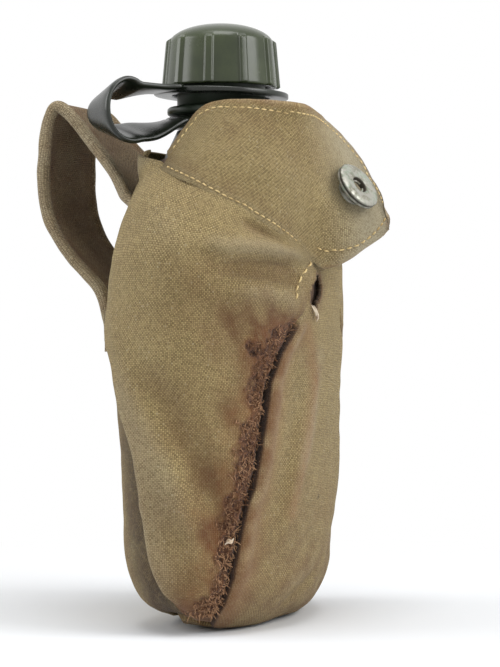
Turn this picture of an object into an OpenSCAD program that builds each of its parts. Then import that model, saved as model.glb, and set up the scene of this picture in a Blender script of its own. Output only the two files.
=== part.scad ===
// One-quart field canteen in a worn canvas carrier.
// Base centre at the origin, +Z up, carrier width along X, front at -Y, belt loop at +Y.
// The carrier is layered on one kidney-shaped skin, and so is the moulded bottle inside it.

/* [Carrier] */
// Width of the carrier across its two rounded ends
carrier_width = 120; // [110:1:130]
// Depth of the carrier at the chest, its fullest height
chest_depth = 73.5; // [70:0.5:78]
// Depth of the carrier just above the rounded foot
foot_depth = 63; // [58:1:68]
// Depth of the carrier where the shoulder starts
mouth_depth = 67.5; // [65:0.5:71]
// Height of the fullest depth
chest_height = 100; // [90:1:108]
// Height of the front panel's top edge
mouth_height = 128; // [120:1:130]
// Radius that the flat bottle is bent to, so that it sits on the hip
bend_radius = 150; // [130:5:220]
// How far the chest's middle lies in front of the neck axis
chest_offset = 3.7; // [3:0.1:5]
// How far the middle of the mouth lies in front of the neck axis
mouth_offset = 5.5; // [4:0.1:6]
// How far the foot's middle lies in front of the neck axis
foot_offset = 6; // [4.5:0.1:7]

/* [Foot and shoulder] */
// Height of the rounded foot
foot_height = 22; // [18:1:26]
// How far the foot draws in below the body
foot_inset = 16; // [12:1:18]
// Height where the shoulder starts to draw in
shoulder_height = 126; // [122:1:128]
// How far the top of the shoulder lies below the cap's crown
neck_drop = 39; // [37:1:41]
// Fullness of the shoulder seen from the front
width_round = 1.9; // [1.5:0.1:2.2]
// Fullness of the shoulder seen from the side
depth_round = 1.5; // [1.3:0.1:1.7]

/* [Cloth] */
// Thickness of the canvas
canvas = 1.4; // [1:0.1:1.6]
// Thickness of the felt lining
felt = 2; // [1.5:0.1:2.4]
// Clearance between neighbouring layers
layer_gap = 0.3; // [0.25:0.05:0.4]
// Width of a panel's edge under the side gore, in degrees round the skin
seam_lap = 9; // [6:1:12]

/* [Bottle and cap] */
// Wall of the moulded bottle
bottle_wall = 1.6; // [1.2:0.1:2]
// Bore radius of the neck
neck_bore = 13.5; // [12:0.25:14]
// How far the neck's lip lies below the cap's crown
lip_drop = 10; // [9.5:0.5:12]
// Overall height to the cap's crown
total_height = 215; // [213:1:219]
// Cap radius at its open end
cap_radius = 20.4; // [20.2:0.1:21.4]
// Cap radius at its crown
crown_radius = 19; // [18.6:0.1:20]
// Wall of the cap
cap_wall = 2.4; // [2:0.1:2.6]
// Number of grip ribs round the cap
rib_count = 10; // [8:1:14]
// Height that a grip rib stands off the cap
rib_height = 1.2; // [0.8:0.1:1.6]

/* [Retaining strap] */
// Direction of the strap's loop, in degrees from +X
strap_angle = 144; // [138:1:148]
// Width of the strap's band
strap_width = 20; // [14:1:22]
// Thickness of the strap's band
strap_thickness = 2.4; // [2:0.1:2.8]
// Radius of the loop's middle line
strap_loop_radius = 10.8; // [9:0.2:11.6]
// Distance of the loop's middle from the neck axis
strap_reach = 39.5; // [38:0.5:42]
// Outer radius of the ring under the cap
cap_ring_radius = 24.5; // [23.5:0.1:25]

/* [Belt loop] */
// Width of the belt loop
loop_width = 46; // [38:1:50]
// Thickness of the doubled webbing
loop_thickness = 3.4; // [2.6:0.2:4]
// How far the loop stands off the back of the carrier
loop_stand = 26; // [24:1:32]

/* [Snaps] */
// Radius of a snap's outer socket
socket_radius = 9; // [8:0.25:9.5]
// Height of a snap's outer socket
socket_height = 2.6; // [2:0.1:3]
// Radius of the socket's hole
socket_hole = 3; // [2.8:0.1:3.4]
// How far the torn stud hole lies below the front panel's top edge
stud_drop = 10; // [8:0.5:14]

/* [Hidden] */

$fn = 64;
// Colours of the faded canvas, the felt, the moulded plastic and the weathered metal
canvas_colour = [0.56, 0.48, 0.34];
felt_colour = [0.38, 0.26, 0.18];
plastic_colour = [0.17, 0.23, 0.18];
strap_colour = [0.14, 0.19, 0.15];
metal_colour = [0.55, 0.56, 0.50];

// Layers, as depths below the face of the front and back panels
panel_in = -canvas;
lining_out = panel_in - layer_gap;
lining_in = lining_out - felt;
bottle_out = lining_in - layer_gap;
bottle_in = bottle_out - bottle_wall;
gore_in = layer_gap;
gore_out = gore_in + canvas;
shut_in = gore_out + layer_gap;
shut_out = shut_in + canvas;

// Heights that are measured down from the crown, and the stud's from the mouth
neck_height = total_height - neck_drop;
lip_height = total_height - lip_drop;
stud_level = mouth_height - stud_drop;

// Neck radii follow the skin, which closes to a circle at the neck
collar_radius = 20;
neck_radius = collar_radius + bottle_out;
neck_overlap = 1.5;
neck_flare = 0.8;
thread_step = 1;
thread_radius = neck_radius + thread_step;
bead_stand = 3.6;
bead_radius = neck_radius + bead_stand;
bead_thickness = 3;
ring_clearance = 0.4;
// Up the neck from the shoulder: the neck ring, the bead, a bare stretch, the ring under the cap, the cap
neck_ring_gap = 1.3;
neck_ring_thickness = 3.4;
neck_ring_rim = 4.6;
neck_ring_radius = neck_radius + neck_ring_rim;
neck_ring_top = neck_height + neck_ring_gap + neck_ring_thickness;
bead_height = neck_ring_top + 2 * ring_clearance + bead_thickness / 2;
bare_neck = 4.2;
cap_ring_thickness = 2.6;
cap_ring_top = bead_height + bead_thickness / 2 + bare_neck + cap_ring_thickness;
cap_bottom = cap_ring_top + ring_clearance;
crown_rise = 7.5;
gasket_thickness = 1.6;

function mix(a, b, f) = a + (b - a) * f;
function signed_power(v, e) = sign(v) * pow(abs(v), e);
function steps(n) = [for (i = [0 : n]) i / n];
// Height of the panels' lower edges, and their clearance round the bottom panel
foot_edge = 0.3;

// The skin: a bent superellipse whose half sizes change with height
function above_shoulder(z) = min(1, max(0, (z - shoulder_height) / (neck_height - shoulder_height)));
function dome(z) = 1 - pow(above_shoulder(z), depth_round);
function broad_dome(z) = 1 - pow(above_shoulder(z), width_round);
function foot_angle(z) = z >= foot_height ? 90 : acos(1 - max(z, 0) / foot_height);
function foot_draw(z) = foot_inset * (1 - sin(foot_angle(z)));
function body_half_width(z) = lookup(z, [[0, carrier_width / 2 - 2], [chest_height, carrier_width / 2]]);
function body_half_depth(z) = lookup(z, [[foot_height, foot_depth / 2], [chest_height, chest_depth / 2],
    [shoulder_height, mouth_depth / 2]]);
function half_width(z) = mix(collar_radius, body_half_width(z), broad_dome(z)) - foot_draw(z);
function half_depth(z) = mix(collar_radius, body_half_depth(z), dome(z)) - foot_draw(z);
function roundness(z) = lookup(z, [[0, 2.05], [shoulder_height, 2.35], [neck_height, 2]]);
function bend(z) = max(0.02, lookup(z, [[0, 0.2], [2 * foot_height, 1], [shoulder_height, 1],
    [neck_height, 0]]));
function body_offset(z) = dome(z) * lookup(z, [[0.6 * chest_height, foot_offset],
    [chest_height, chest_offset], [shoulder_height, mouth_offset]]);

// A point of the skin at an angle round it, a height, and an offset outwards.
// Angle 90 is the front, 180 the -X end and 270 the back.
function skin(t, z, d) =
    let (lean = sin(foot_angle(z)),
         p = 2 / roundness(z),
         s = (half_width(z) + d * lean) * signed_power(cos(t), p),
         n = (half_depth(z) + d * lean) * signed_power(sin(t), p),
         r = bend_radius / bend(z))
    [(r + n) * sin(s / r * 180 / PI), r - (r + n) * cos(s / r * 180 / PI) - body_offset(z),
     z - d * cos(foot_angle(z))];

// A cloth sheet between two grids of points, outer and inner, each square cut along its shorter diagonal
function halves(q, along) = along ? [[q[0], q[1], q[2]], [q[0], q[2], q[3]]]
    : [[q[0], q[1], q[3]], [q[1], q[2], q[3]]];
module sheet(outer, inner) {
    rows = len(outer);
    cols = len(outer[0]);
    back = rows * cols;
    last = back - cols;
    faces = concat(
        [for (i = [0 : rows - 2], j = [0 : cols - 2])
            let (k = i * cols + j,
                 along = norm(outer[i][j] - outer[i + 1][j + 1]) <= norm(outer[i][j + 1] - outer[i + 1][j]))
            each concat(halves([k, k + 1, k + cols + 1, k + cols], along),
                halves([k, k + cols, k + cols + 1, k + 1] + back * [1, 1, 1, 1], along))],
        [for (j = [0 : cols - 2]) each halves([j + 1, j, back + j, back + j + 1], true)],
        [for (j = [0 : cols - 2]) let (k = last + j) each halves([k, k + 1, back + k + 1, back + k], true)],
        [for (i = [0 : rows - 2]) let (k = i * cols)
            each halves([k, k + cols, back + k + cols, back + k], true)],
        [for (i = [0 : rows - 2]) let (k = i * cols + cols - 1)
            each halves([k + cols, k, back + k, back + k + cols], true)]);
    polyhedron(points = [for (grid = [outer, inner], row = grid, p = row) p], faces = faces, convexity = 6);
}

// A closed shell lofted through rings of points, capped at its first and last ring
module loft(rings) {
    count = len(rings[0]);
    polyhedron(points = [for (ring = rings, p = ring) p], convexity = 6,
        faces = concat([[for (j = [count - 1 : -1 : 0]) j]],
            [for (i = [0 : len(rings) - 2], j = [0 : count - 1], half = [0, 1])
                let (a = i * count + j, b = i * count + (j + 1) % count)
                half == 0 ? [a, b, b + count] : [a, b + count, a + count]],
            [[for (j = [0 : count - 1]) (len(rings) - 1) * count + j]]));
}

// Heights that the rows of every layer share, so that the layers stay apart: equal turns round the foot,
// a few steps up the body and closer ones over the shoulder
foot_turn = 15;
foot_rows = [for (a = [0 : foot_turn : 90 - foot_turn]) foot_height * (1 - cos(a))];
body_rows = [for (f = steps(8)) mix(foot_height, shoulder_height, f)];
shoulder_rows = [for (i = [1 : 8]) mix(shoulder_height, neck_height, i / 8)];
all_rows = concat(foot_rows, body_rows, shoulder_rows);
row_margin = 1.5;
function rows_between(low, high) = concat([low],
    [for (z = all_rows) if (z > low + foot_edge && z < high - row_margin) z], [high]);

// Edges of the left gore, as angles round the skin: leaf-shaped, wide at the top
seam_front = 97;
seam_back = 228;
function gore_front(z) = lookup(z / mouth_height, [[0, 158], [0.078, 147], [0.156, 140], [0.39, 127],
    [0.672, 120], [0.75, 115], [0.828, 106.5], [0.898, 101], [1, seam_front]]);
function gore_back(z) = lookup(z / shoulder_height, [[0, 171], [0.127, 177], [0.397, 193], [0.595, 207],
    [1, seam_back]]);
function lap(z) = min(seam_lap, 0.4 * (gore_back(z) - gore_front(z)));
// Height of the seam between gore and flap, from the front (0) to the back (1)
collar_gap = 10;
back_top = neck_height - collar_gap;
function seam_height(v) = mix(mouth_height, back_top, lookup(v, [[0, 0.132], [0.12, 0.263], [0.27, 0.474],
    [0.52, 0.71], [0.8, 0.921], [1, 1]]));
function seam_angle(v) = mix(seam_front, seam_back, v);
function seam_share(t) = (t - seam_front) / (seam_back - seam_front);

gore_low = 4;
gore_rows = rows_between(gore_low, shoulder_height);
function gore_point(z, v, d) = skin(mix(gore_front(z), gore_back(z), v), z, d);
function gore_grid(d) = concat([for (z = gore_rows) [for (v = steps(16)) gore_point(z, v, d)]],
    [for (i = [1 : 6]) [for (v = steps(16))
        gore_point(mix(shoulder_height, seam_height(v), i / 6), v, d)]]);
module gore() { sheet(gore_grid(gore_out), gore_grid(gore_in)); }

// Rows of skin points between two edges given as angles, mirrored about the middle angle
front_middle = 90;
back_middle = 270;
function panel_grid(high, cols, middle, reach, d) = [for (z = rows_between(foot_edge, high))
    [for (v = steps(cols)) skin(mix(middle - reach(z), middle + reach(z), v), z, d)]];
front_reach = function (z) gore_front(z) + lap(z) - front_middle;
back_reach = function (z) back_middle - gore_back(z) + lap(z);
lining_reach = function (z) 89.4;
// How far the linings end below the panels' top edges
lining_drop = 4;

// The left flap stands open. Sewn to the gore along the seam, it bends at a straight fold from the seam's
// front end to its top edge, and its free end runs on past the fold to a rounded tip.
flap_gap = 0.8;
flap_mid = (gore_in + gore_out) / 2;
hem_start = skin(seam_front, seam_height(0) + flap_gap, flap_mid);
flap_stand = 6.3;
flap_top = neck_height + flap_stand;
function flap_place(along, across, high) =
    [hem_start[0] + along * carrier_width, hem_start[1] + across * carrier_width, high];
// Unit of the pulls that shape the flap's edges
pull = carrier_width / 60;
flap_rear = flap_place(-0.139, 0.388, flap_top - 7 * pull);
flap_collar = flap_place(-0.156, 0.2217, flap_top);
flap_corner = flap_place(-0.114, -0.02, flap_top - 0.5 * pull);
flap_tip = flap_place(0.152, -0.19, hem_start[2] + 4.1 * pull);
tip_half = [0.5, 0.2, 1.25] * pull;
hem_lift = [0, 0, 0.9] * pull;
function curve(a, b, c, d, f) = a * pow(1 - f, 3) + b * 3 * f * pow(1 - f, 2)
    + c * 3 * f * f * (1 - f) + d * pow(f, 3);
seam_rail = function (v) skin(seam_angle(v), seam_height(v) + flap_gap, flap_mid);
collar_rail = function (v) curve(flap_corner, flap_collar + [-1, -8, 1] * pull,
    flap_collar + [-1, 5, 1.5] * pull, flap_rear, v);
hem_rail = function (v) curve(hem_start + hem_lift, hem_start + [-2, -6.8, -6.5] * pull,
    flap_tip + [-8.3, 2.5, -3.6] * pull, flap_tip - tip_half, v);
edge_rail = function (v) curve(flap_corner, flap_corner + [18, 4.2, 2] * pull,
    flap_tip + [16, 10.6, 15.2] * pull, flap_tip + tip_half, v);
// Cloth stops short of the fold on both sides, so that it can turn there, and further at the hem, where the
// free end leaves the fold at a sharp angle
fold_gap = 0.7;
hem_gap = 2.2;
function past_fold(rail, gap) = gap * 0.01 / norm(rail(0.01) - rail(0));
function along(rail, v, gap = fold_gap) = rail(mix(past_fold(rail, gap), 1, v));
// How far the cloth bellies out between its rails
root_belly = 3;
tip_belly = 9;
function root_point(f, v) = mix(along(seam_rail, v), along(collar_rail, v), f)
    + [-0.75, -0.65, 0] * root_belly * 4 * f * (1 - f) * min(1, 3 * v);
function tip_point(f, v) = mix(along(hem_rail, v, hem_gap), along(edge_rail, v), f)
    + [-0.45, -0.89, 0] * tip_belly * sin(180 * pow(v, 0.8)) * sin(180 * pow(f, 0.54));
root_grid = [for (f = steps(10)) [for (v = steps(12)) root_point(f, v)]];
tip_grid = [for (f = steps(10)) [for (v = steps(10)) tip_point(f, 1 - v)]];
// Directions across a sheet of points, and the sheet moved that way
function normals(grid) = let (rows = len(grid) - 1, cols = len(grid[0]) - 1)
    [for (i = [0 : rows]) [for (j = [0 : cols])
        let (up = grid[min(i + 1, rows)][j] - grid[max(i - 1, 0)][j],
             side = grid[i][min(j + 1, cols)] - grid[i][max(j - 1, 0)],
             n = cross(up, side)) n / norm(n)]];
function moved(grid, d) = let (n = normals(grid))
    [for (i = [0 : len(grid) - 1]) [for (j = [0 : len(grid[0]) - 1]) grid[i][j] + n[i][j] * d]];
module cloth(grid) { sheet(moved(grid, canvas / 2), moved(grid, -canvas / 2)); }

// Left snap: its row and column on the free end, which give its place and the way it faces
left_snap_row = 5;
left_snap_column = 6;
left_snap = tip_grid[left_snap_row][left_snap_column];
left_facing = normals(tip_grid)[left_snap_row][left_snap_column];
// How far the cloth falls away from the snap within the reach of its washer, and rises within its socket's
washer_radius = socket_radius - 4;
left_sag = max([for (row = tip_grid, p = row) if (norm(p - left_snap) < 1.5 * washer_radius)
    (left_snap - p) * left_facing]);
left_rise = max([for (row = tip_grid, p = row) if (norm(p - left_snap) < 1.1 * socket_radius)
    (p - left_snap) * left_facing]);

// The right flap lies shut over the shoulder, with its free end folded round the front below the neck
shut_fold = 116;
shut_tip = 94;
shut_top = neck_height - 5;
shut_margin = 0.7;
function shut_root_grid(d) = [for (f = steps(9)) [for (v = steps(14))
    let (t = mix(shut_fold + shut_margin, seam_back, v))
    skin(t, mix(seam_height(seam_share(t)) + flap_gap, shut_top, f), d)]];
shut_low = seam_height(seam_share(shut_fold)) + flap_gap;
shut_tip_low = shut_low + 2;
shut_high = shut_top - 3;
shut_tip_high = mix(shut_low, shut_high, 0.468);
function shut_tip_grid(d) = [for (f = steps(8)) [for (v = steps(8))
    skin(mix(shut_tip, shut_fold - shut_margin, v),
        mix(mix(shut_tip_low, shut_low, v), mix(shut_tip_high, shut_high, pow(v, 0.7)), f), d)]];
// Right snap: its angle and height on the shut flap
snap_turn = 105;
snap_level = mix(shut_low, shut_high, 0.396);
right_snap = skin(snap_turn, snap_level, (shut_in + shut_out) / 2);
right_facing = let (side = skin(snap_turn + 1, snap_level, 0) - skin(snap_turn - 1, snap_level, 0),
    up = skin(snap_turn, snap_level + 1, 0) - skin(snap_turn, snap_level - 1, 0),
    n = cross(up, side)) n / norm(n);

// Torn hole of the left stud on the front panel
stud_angle = 97;
torn_radius = 3.6;
torn_seat = skin(stud_angle, stud_level, 0);

// Stands a shape that rises along +Z on a point, facing a direction
module facing(place, way) {
    translate(place) rotate([0, acos(way[2]), atan2(way[1], way[0])]) children();
}

// Sizes of the socket's bevel and countersink, and of the clinched washer behind the cloth
socket_bevel = 1.6;
socket_sink = 0.7;
washer_thickness = 0.8;
shank_hole = socket_hole + 0.6;
through_cut = 16;
module snap_socket() {
    rotate_extrude() polygon([[socket_hole, 0], [socket_radius, 0], [socket_radius, 0.45 * socket_height],
        [socket_radius - socket_bevel, socket_height], [socket_hole + socket_sink, socket_height],
        [socket_hole, socket_height - socket_sink]]);
}
module snap_hole() { cylinder(r = shank_hole, h = through_cut, center = true); }
module snap_washer() {
    difference() {
        cylinder(r = washer_radius, h = washer_thickness);
        snap_hole();
    }
}

// Height of the loop's middle below the ring under the cap
strap_drop = 9.5;
// Middle line of the retaining strap: out from the ring under the cap, round the loop, to the neck ring
strap_level = cap_ring_top - cap_ring_thickness / 2 - strap_drop;
strap_path = concat([[cap_ring_radius - 2, cap_ring_top - cap_ring_thickness / 2]],
    [for (a = [112 : -14 : -112])
        [strap_reach + strap_loop_radius * cos(a), strap_level + strap_loop_radius * sin(a)]],
    [[neck_ring_radius - 2, neck_ring_top - neck_ring_thickness / 2]]);
// Outline of a band of one thickness laid along a path
function path_normal(path, i) = let (d = path[min(i + 1, len(path) - 1)] - path[max(i - 1, 0)])
    [-d[1], d[0]] / norm(d);
function band(path, t) = concat([for (i = [0 : len(path) - 1]) path[i] + path_normal(path, i) * t / 2],
    [for (i = [len(path) - 1 : -1 : 0]) path[i] - path_normal(path, i) * t / 2]);

// Middle line of the belt loop in the YZ plane: sewn end, up and out, over the top, down to the sewn tail
loop_spread = 16;
loop_gap = 0.6;
function back_face(z) = max([for (t = [back_middle - loop_spread : 2 : back_middle + loop_spread])
    skin(t, z, loop_thickness / 2 + loop_gap)[1]]);
loop_out = back_face(chest_height) + loop_stand;
// Height of the upper sewn end, the loop's rise above it and its fall below it
loop_root = back_top - 22;
loop_rise = 40;
loop_fall = 48;
function out_knot(f, rise) = [loop_out - f * loop_stand, loop_root + rise];
function sewn_knot(off, rise) = [back_face(loop_root + rise) + off, loop_root + rise];
loop_knots = [sewn_knot(0, 0), sewn_knot(0.6, 0.15 * loop_rise), out_knot(0.923, 0.525 * loop_rise),
    out_knot(0.308, loop_rise), out_knot(0.077, 0.925 * loop_rise), out_knot(0, 0.55 * loop_rise),
    out_knot(0.038, 0.1 * loop_rise), out_knot(0.308, -0.208 * loop_fall),
    out_knot(0.846, -0.52 * loop_fall), sewn_knot(1.5, -0.75 * loop_fall),
    sewn_knot(0, -0.875 * loop_fall), sewn_knot(0, -loop_fall)];
// A smooth line through knots, a few steps to a span
function through(a, b, c, d, f) = 0.5 * (2 * b + (c - a) * f + (2 * a - 5 * b + 4 * c - d) * f * f
    + (3 * b - 3 * c + d - a) * pow(f, 3));
function smooth(k, n) = let (m = len(k) - 1) concat([for (i = [0 : m - 1], s = [0 : n - 1])
    through(k[max(i - 1, 0)], k[i], k[i + 1], k[min(i + 2, m)], s / n)], [k[m]]);

module bottle() {
    neck_foot = neck_height - neck_overlap;
    bead_low = bead_height - bead_thickness / 2;
    bead_top = bead_height + bead_thickness / 2;
    function ring(z, d) = [for (t = [0 : 10 : 350]) skin(t, z, d)];
    outer = [for (z = all_rows) ring(z, bottle_out)];
    inner = [for (i = [len(all_rows) - 1 : -1 : 0]) ring(all_rows[i], bottle_in)];
    color(plastic_colour) union() {
        loft(concat(outer, inner));
        rotate_extrude() polygon([[neck_bore, neck_foot], [neck_radius + neck_flare, neck_foot],
            [neck_radius + neck_flare, neck_height + 0.3], [neck_radius, neck_height + neck_flare + 0.3],
            [neck_radius, bead_low], [bead_radius, bead_low], [bead_radius, bead_top],
            [neck_radius, bead_top], [neck_radius, cap_bottom], [thread_radius, cap_bottom + thread_step],
            [thread_radius, lip_height - thread_step], [neck_radius, lip_height], [neck_bore, lip_height]]);
    }
}

module cap() {
    rib_foot = cap_bottom + 1;
    rib_length = total_height - cap_bottom - 8;
    rib_point = 1.6;
    draft = atan((cap_radius - crown_radius) / (total_height - cap_bottom));
    cavity = cap_radius - cap_wall;
    roof = lip_height + layer_gap + gasket_thickness;
    color(plastic_colour) union() {
        rotate_extrude() polygon(concat([[cavity, cap_bottom], [cap_radius, cap_bottom]],
            [for (a = [0 : 10 : 90]) [crown_radius * cos(a), total_height - crown_rise * (1 - sin(a))]],
            [[0, roof], [cavity, roof]]));
        for (i = [0 : rib_count - 1]) rotate([0, 0, 360 * i / rib_count])
            translate([cap_radius, 0, rib_foot]) rotate([0, -draft, 0]) {
                cylinder(r = rib_height, h = rib_length);
                translate([0, 0, rib_length]) cylinder(r1 = rib_height, r2 = rib_height / 3, h = rib_point);
            }
    }
}

module cap_gasket() {
    color("dimgray") translate([0, 0, lip_height + layer_gap]) difference() {
        cylinder(r = cap_radius - cap_wall - 0.2, h = gasket_thickness - 0.1);
        translate([0, 0, -1]) cylinder(r = neck_bore, h = gasket_thickness + 2);
    }
}

module strap_cap_ring() {
    color(strap_colour) translate([0, 0, cap_ring_top - cap_ring_thickness]) difference() {
        cylinder(r = cap_ring_radius, h = cap_ring_thickness);
        translate([0, 0, -1]) cylinder(r = thread_radius + 2 * ring_clearance, h = cap_ring_thickness + 2);
    }
}

module strap_band() {
    color(strap_colour) rotate([0, 0, strap_angle]) difference() {
        rotate([90, 0, 0]) translate([0, 0, -strap_width / 2]) linear_extrude(strap_width)
            polygon(band(strap_path, strap_thickness));
        translate([0, 0, strap_level]) cylinder(r = cap_ring_radius + layer_gap, h = strap_reach);
        translate([0, 0, strap_level - strap_reach])
            cylinder(r = neck_ring_radius + 0.1, h = strap_reach);
    }
}

module strap_neck_ring() {
    color(strap_colour) translate([0, 0, neck_ring_top - neck_ring_thickness]) difference() {
        cylinder(r = neck_ring_radius, h = neck_ring_thickness);
        translate([0, 0, -1]) cylinder(r = neck_radius + ring_clearance, h = neck_ring_thickness + 2);
    }
}

module front_panel() {
    color(canvas_colour) difference() {
        sheet(panel_grid(mouth_height, 14, front_middle, front_reach, 0),
            panel_grid(mouth_height, 14, front_middle, front_reach, panel_in));
        // The left stud has torn out of its hole
        translate(torn_seat) rotate([90, 0, 0]) translate([0, 0, -8]) cylinder(r = torn_radius, h = 16);
    }
}

module back_panel() {
    color(canvas_colour) sheet(panel_grid(back_top, 16, back_middle, back_reach, 0),
        panel_grid(back_top, 16, back_middle, back_reach, panel_in));
}

module gore_left() { color(canvas_colour) gore(); }
module gore_right() { color(canvas_colour) mirror([1, 0, 0]) gore(); }

module lining(high, middle) {
    color(felt_colour) sheet(panel_grid(high, 18, middle, lining_reach, lining_out),
        panel_grid(high, 18, middle, lining_reach, lining_in));
}
module front_lining() { lining(mouth_height - lining_drop, front_middle); }
module back_lining() { lining(back_top - lining_drop, back_middle); }

// Flat outline inside the foot, shared by the bottom panel and its lining
module foot_outline() {
    middle = [0, -foot_offset];
    polygon([for (t = [0 : 6 : 354]) let (p = skin(t, 0, 0), q = [p[0], p[1]] - middle)
        middle + q * (1 - foot_edge / norm(q))]);
}
module bottom_panel() { color(canvas_colour) linear_extrude(canvas) foot_outline(); }
module bottom_lining() {
    color(felt_colour) translate([0, 0, -lining_out]) linear_extrude(felt) foot_outline();
}

module belt_loop() {
    color(canvas_colour) rotate([90, 0, 90]) translate([0, 0, -loop_width / 2]) linear_extrude(loop_width)
        polygon(band(smooth(loop_knots, 3), loop_thickness));
}

module flap_root_left() { color(canvas_colour) cloth(root_grid); }
module flap_left() {
    color(canvas_colour) difference() {
        cloth(tip_grid);
        facing(left_snap, left_facing) snap_hole();
    }
}
module flap_root_right() {
    color(canvas_colour) mirror([1, 0, 0]) sheet(shut_root_grid(shut_out), shut_root_grid(shut_in));
}
module flap_right() {
    color(canvas_colour) mirror([1, 0, 0]) difference() {
        sheet(shut_tip_grid(shut_out), shut_tip_grid(shut_in));
        facing(right_snap, right_facing) snap_hole();
    }
}

// Snaps lie on the cloth, the socket outside and the clinched washer inside, each clear of its curve
socket_seat = canvas / 2 + layer_gap;
left_washer_seat = -canvas / 2 - washer_thickness - left_sag - 1.5 * layer_gap;
right_washer_seat = -canvas / 2 - washer_thickness - 0.5;
module snap_socket_left() {
    color(metal_colour) facing(left_snap + left_facing * (socket_seat + left_rise), left_facing) snap_socket();
}
module snap_washer_left() {
    color(metal_colour) facing(left_snap + left_facing * left_washer_seat, left_facing) snap_washer();
}
module snap_socket_right() {
    color(metal_colour) mirror([1, 0, 0])
        facing(right_snap + right_facing * socket_seat, right_facing) snap_socket();
}
module snap_washer_right() {
    color(metal_colour) mirror([1, 0, 0])
        facing(right_snap + right_facing * right_washer_seat, right_facing) snap_washer();
}

bottle();
cap();
cap_gasket();
strap_cap_ring();
strap_band();
strap_neck_ring();
front_panel();
back_panel();
gore_left();
gore_right();
front_lining();
back_lining();
bottom_panel();
bottom_lining();
belt_loop();
flap_root_left();
flap_root_right();
flap_left();
flap_right();
snap_socket_left();
snap_socket_right();
snap_washer_left();
snap_washer_right();
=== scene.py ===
# %% [markdown]
# # A canteen in its worn canvas carrier
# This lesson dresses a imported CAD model. The model gives every piece its place and its motion, and Blender gives
# it cloth, stitches, wear and light. Every shape below is a formula on a grid of numbers, so numpy works out all
# the points of a piece at once and Blender only receives the finished mesh. Sizes are in millimetres, as a
# maker would write them, and become metres when a mesh is made.

# %% Load the frame
import math

import bpy
import numpy as np
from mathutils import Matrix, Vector


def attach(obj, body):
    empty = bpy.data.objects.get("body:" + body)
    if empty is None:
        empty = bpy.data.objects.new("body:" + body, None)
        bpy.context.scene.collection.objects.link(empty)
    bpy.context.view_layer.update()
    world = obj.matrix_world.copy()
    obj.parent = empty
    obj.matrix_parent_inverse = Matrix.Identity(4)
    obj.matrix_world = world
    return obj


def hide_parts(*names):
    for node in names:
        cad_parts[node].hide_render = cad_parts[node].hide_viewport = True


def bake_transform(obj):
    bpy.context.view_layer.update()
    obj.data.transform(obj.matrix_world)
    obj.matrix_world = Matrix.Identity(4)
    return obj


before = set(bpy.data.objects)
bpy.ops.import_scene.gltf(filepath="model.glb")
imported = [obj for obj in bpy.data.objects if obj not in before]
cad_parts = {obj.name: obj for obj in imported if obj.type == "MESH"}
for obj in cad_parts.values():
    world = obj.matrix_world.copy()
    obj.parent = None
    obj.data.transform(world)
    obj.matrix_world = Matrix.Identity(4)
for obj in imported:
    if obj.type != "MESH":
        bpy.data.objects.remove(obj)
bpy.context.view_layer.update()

# %% [markdown]
# ## The camera
# A camera could be aimed by hand, but a viewing angle that is written down can be repeated. This one stands level
# with the middle of the canteen, 0.8 m away, and sees the narrow left side with a little of the front.
# The focal length comes from the picture: 2196 pixels on a frame 667 pixels high, on Blender's 36 mm sensor.

# %% Camera
MM = 0.001
AIM = Vector((3.8, -9.8, 102.5)) * MM
TURN, RISE, DISTANCE = math.radians(-70), math.radians(0.2), 0.8
FOCAL_PIXELS, FRAME_PIXELS, SENSOR = 2196, 667, 36
away = Vector((math.sin(TURN) * math.cos(RISE), -math.cos(TURN) * math.cos(RISE), math.sin(RISE)))
camera_data = bpy.data.cameras.new("camera")
camera_data.lens = SENSOR * FOCAL_PIXELS / FRAME_PIXELS
camera = bpy.data.objects.new("camera", camera_data)
camera.location = AIM + away * DISTANCE
camera.rotation_euler = (-away).to_track_quat("-Z", "Y").to_euler()
bpy.context.scene.collection.objects.link(camera)
bpy.context.scene.camera = camera
print("camera at", [round(c, 4) for c in camera.location])

# %% [markdown]
# ## Nodes in a few words
# The world and every finish are trees of shader nodes. They could be drawn by hand in Blender's editor, but with a
# helper for each kind of node a finish can be read here as a formula, and it is the same every time it is made.

# %% Shader helpers


def node(tree, kind, **values):
    """A new node in a tree, with some of its own settings."""
    made = tree.nodes.new(kind)
    for key, value in values.items():
        setattr(made, key, value)
    return made


def feed(tree, socket, value):
    """Puts a number, a colour or another node's output into a socket."""
    if isinstance(value, bpy.types.NodeSocket):
        tree.links.new(value, socket)
    else:
        socket.default_value = value


def maths(tree, operation, a, b=0.0, clamp=False):
    """The output of one Math node."""
    made = node(tree, "ShaderNodeMath", operation=operation, use_clamp=clamp)
    feed(tree, made.inputs[0], a)
    feed(tree, made.inputs[1], b)
    return made.outputs[0]


def times(tree, a, b):
    """The product of two shader values."""
    return maths(tree, "MULTIPLY", a, b)


def added(tree, a, b):
    """The sum of two shader values."""
    return maths(tree, "ADD", a, b)


def times_plus(tree, value, factor, rest):
    """A shader value times a factor, plus a rest."""
    made = maths(tree, "MULTIPLY_ADD", value, factor)
    made.node.inputs[2].default_value = rest
    return made


def ramp(tree, value, low, high):
    """0 below low, 1 above high, smooth between."""
    made = node(tree, "ShaderNodeMapRange", interpolation_type="SMOOTHSTEP")
    feed(tree, made.inputs["Value"], value)
    feed(tree, made.inputs["From Min"], low)
    feed(tree, made.inputs["From Max"], high)
    return made.outputs[0]


def seen_rays(tree):
    """1 for rays that show a surface to the camera, directly or by gloss and glass, and 0 for lighting rays."""
    rays = node(tree, "ShaderNodeLightPath")
    seen = maths(tree, "MAXIMUM", rays.outputs["Is Camera Ray"], rays.outputs["Is Glossy Ray"])
    return maths(tree, "MAXIMUM", seen, rays.outputs["Is Transmission Ray"])


print("shader helpers ready")

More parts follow.
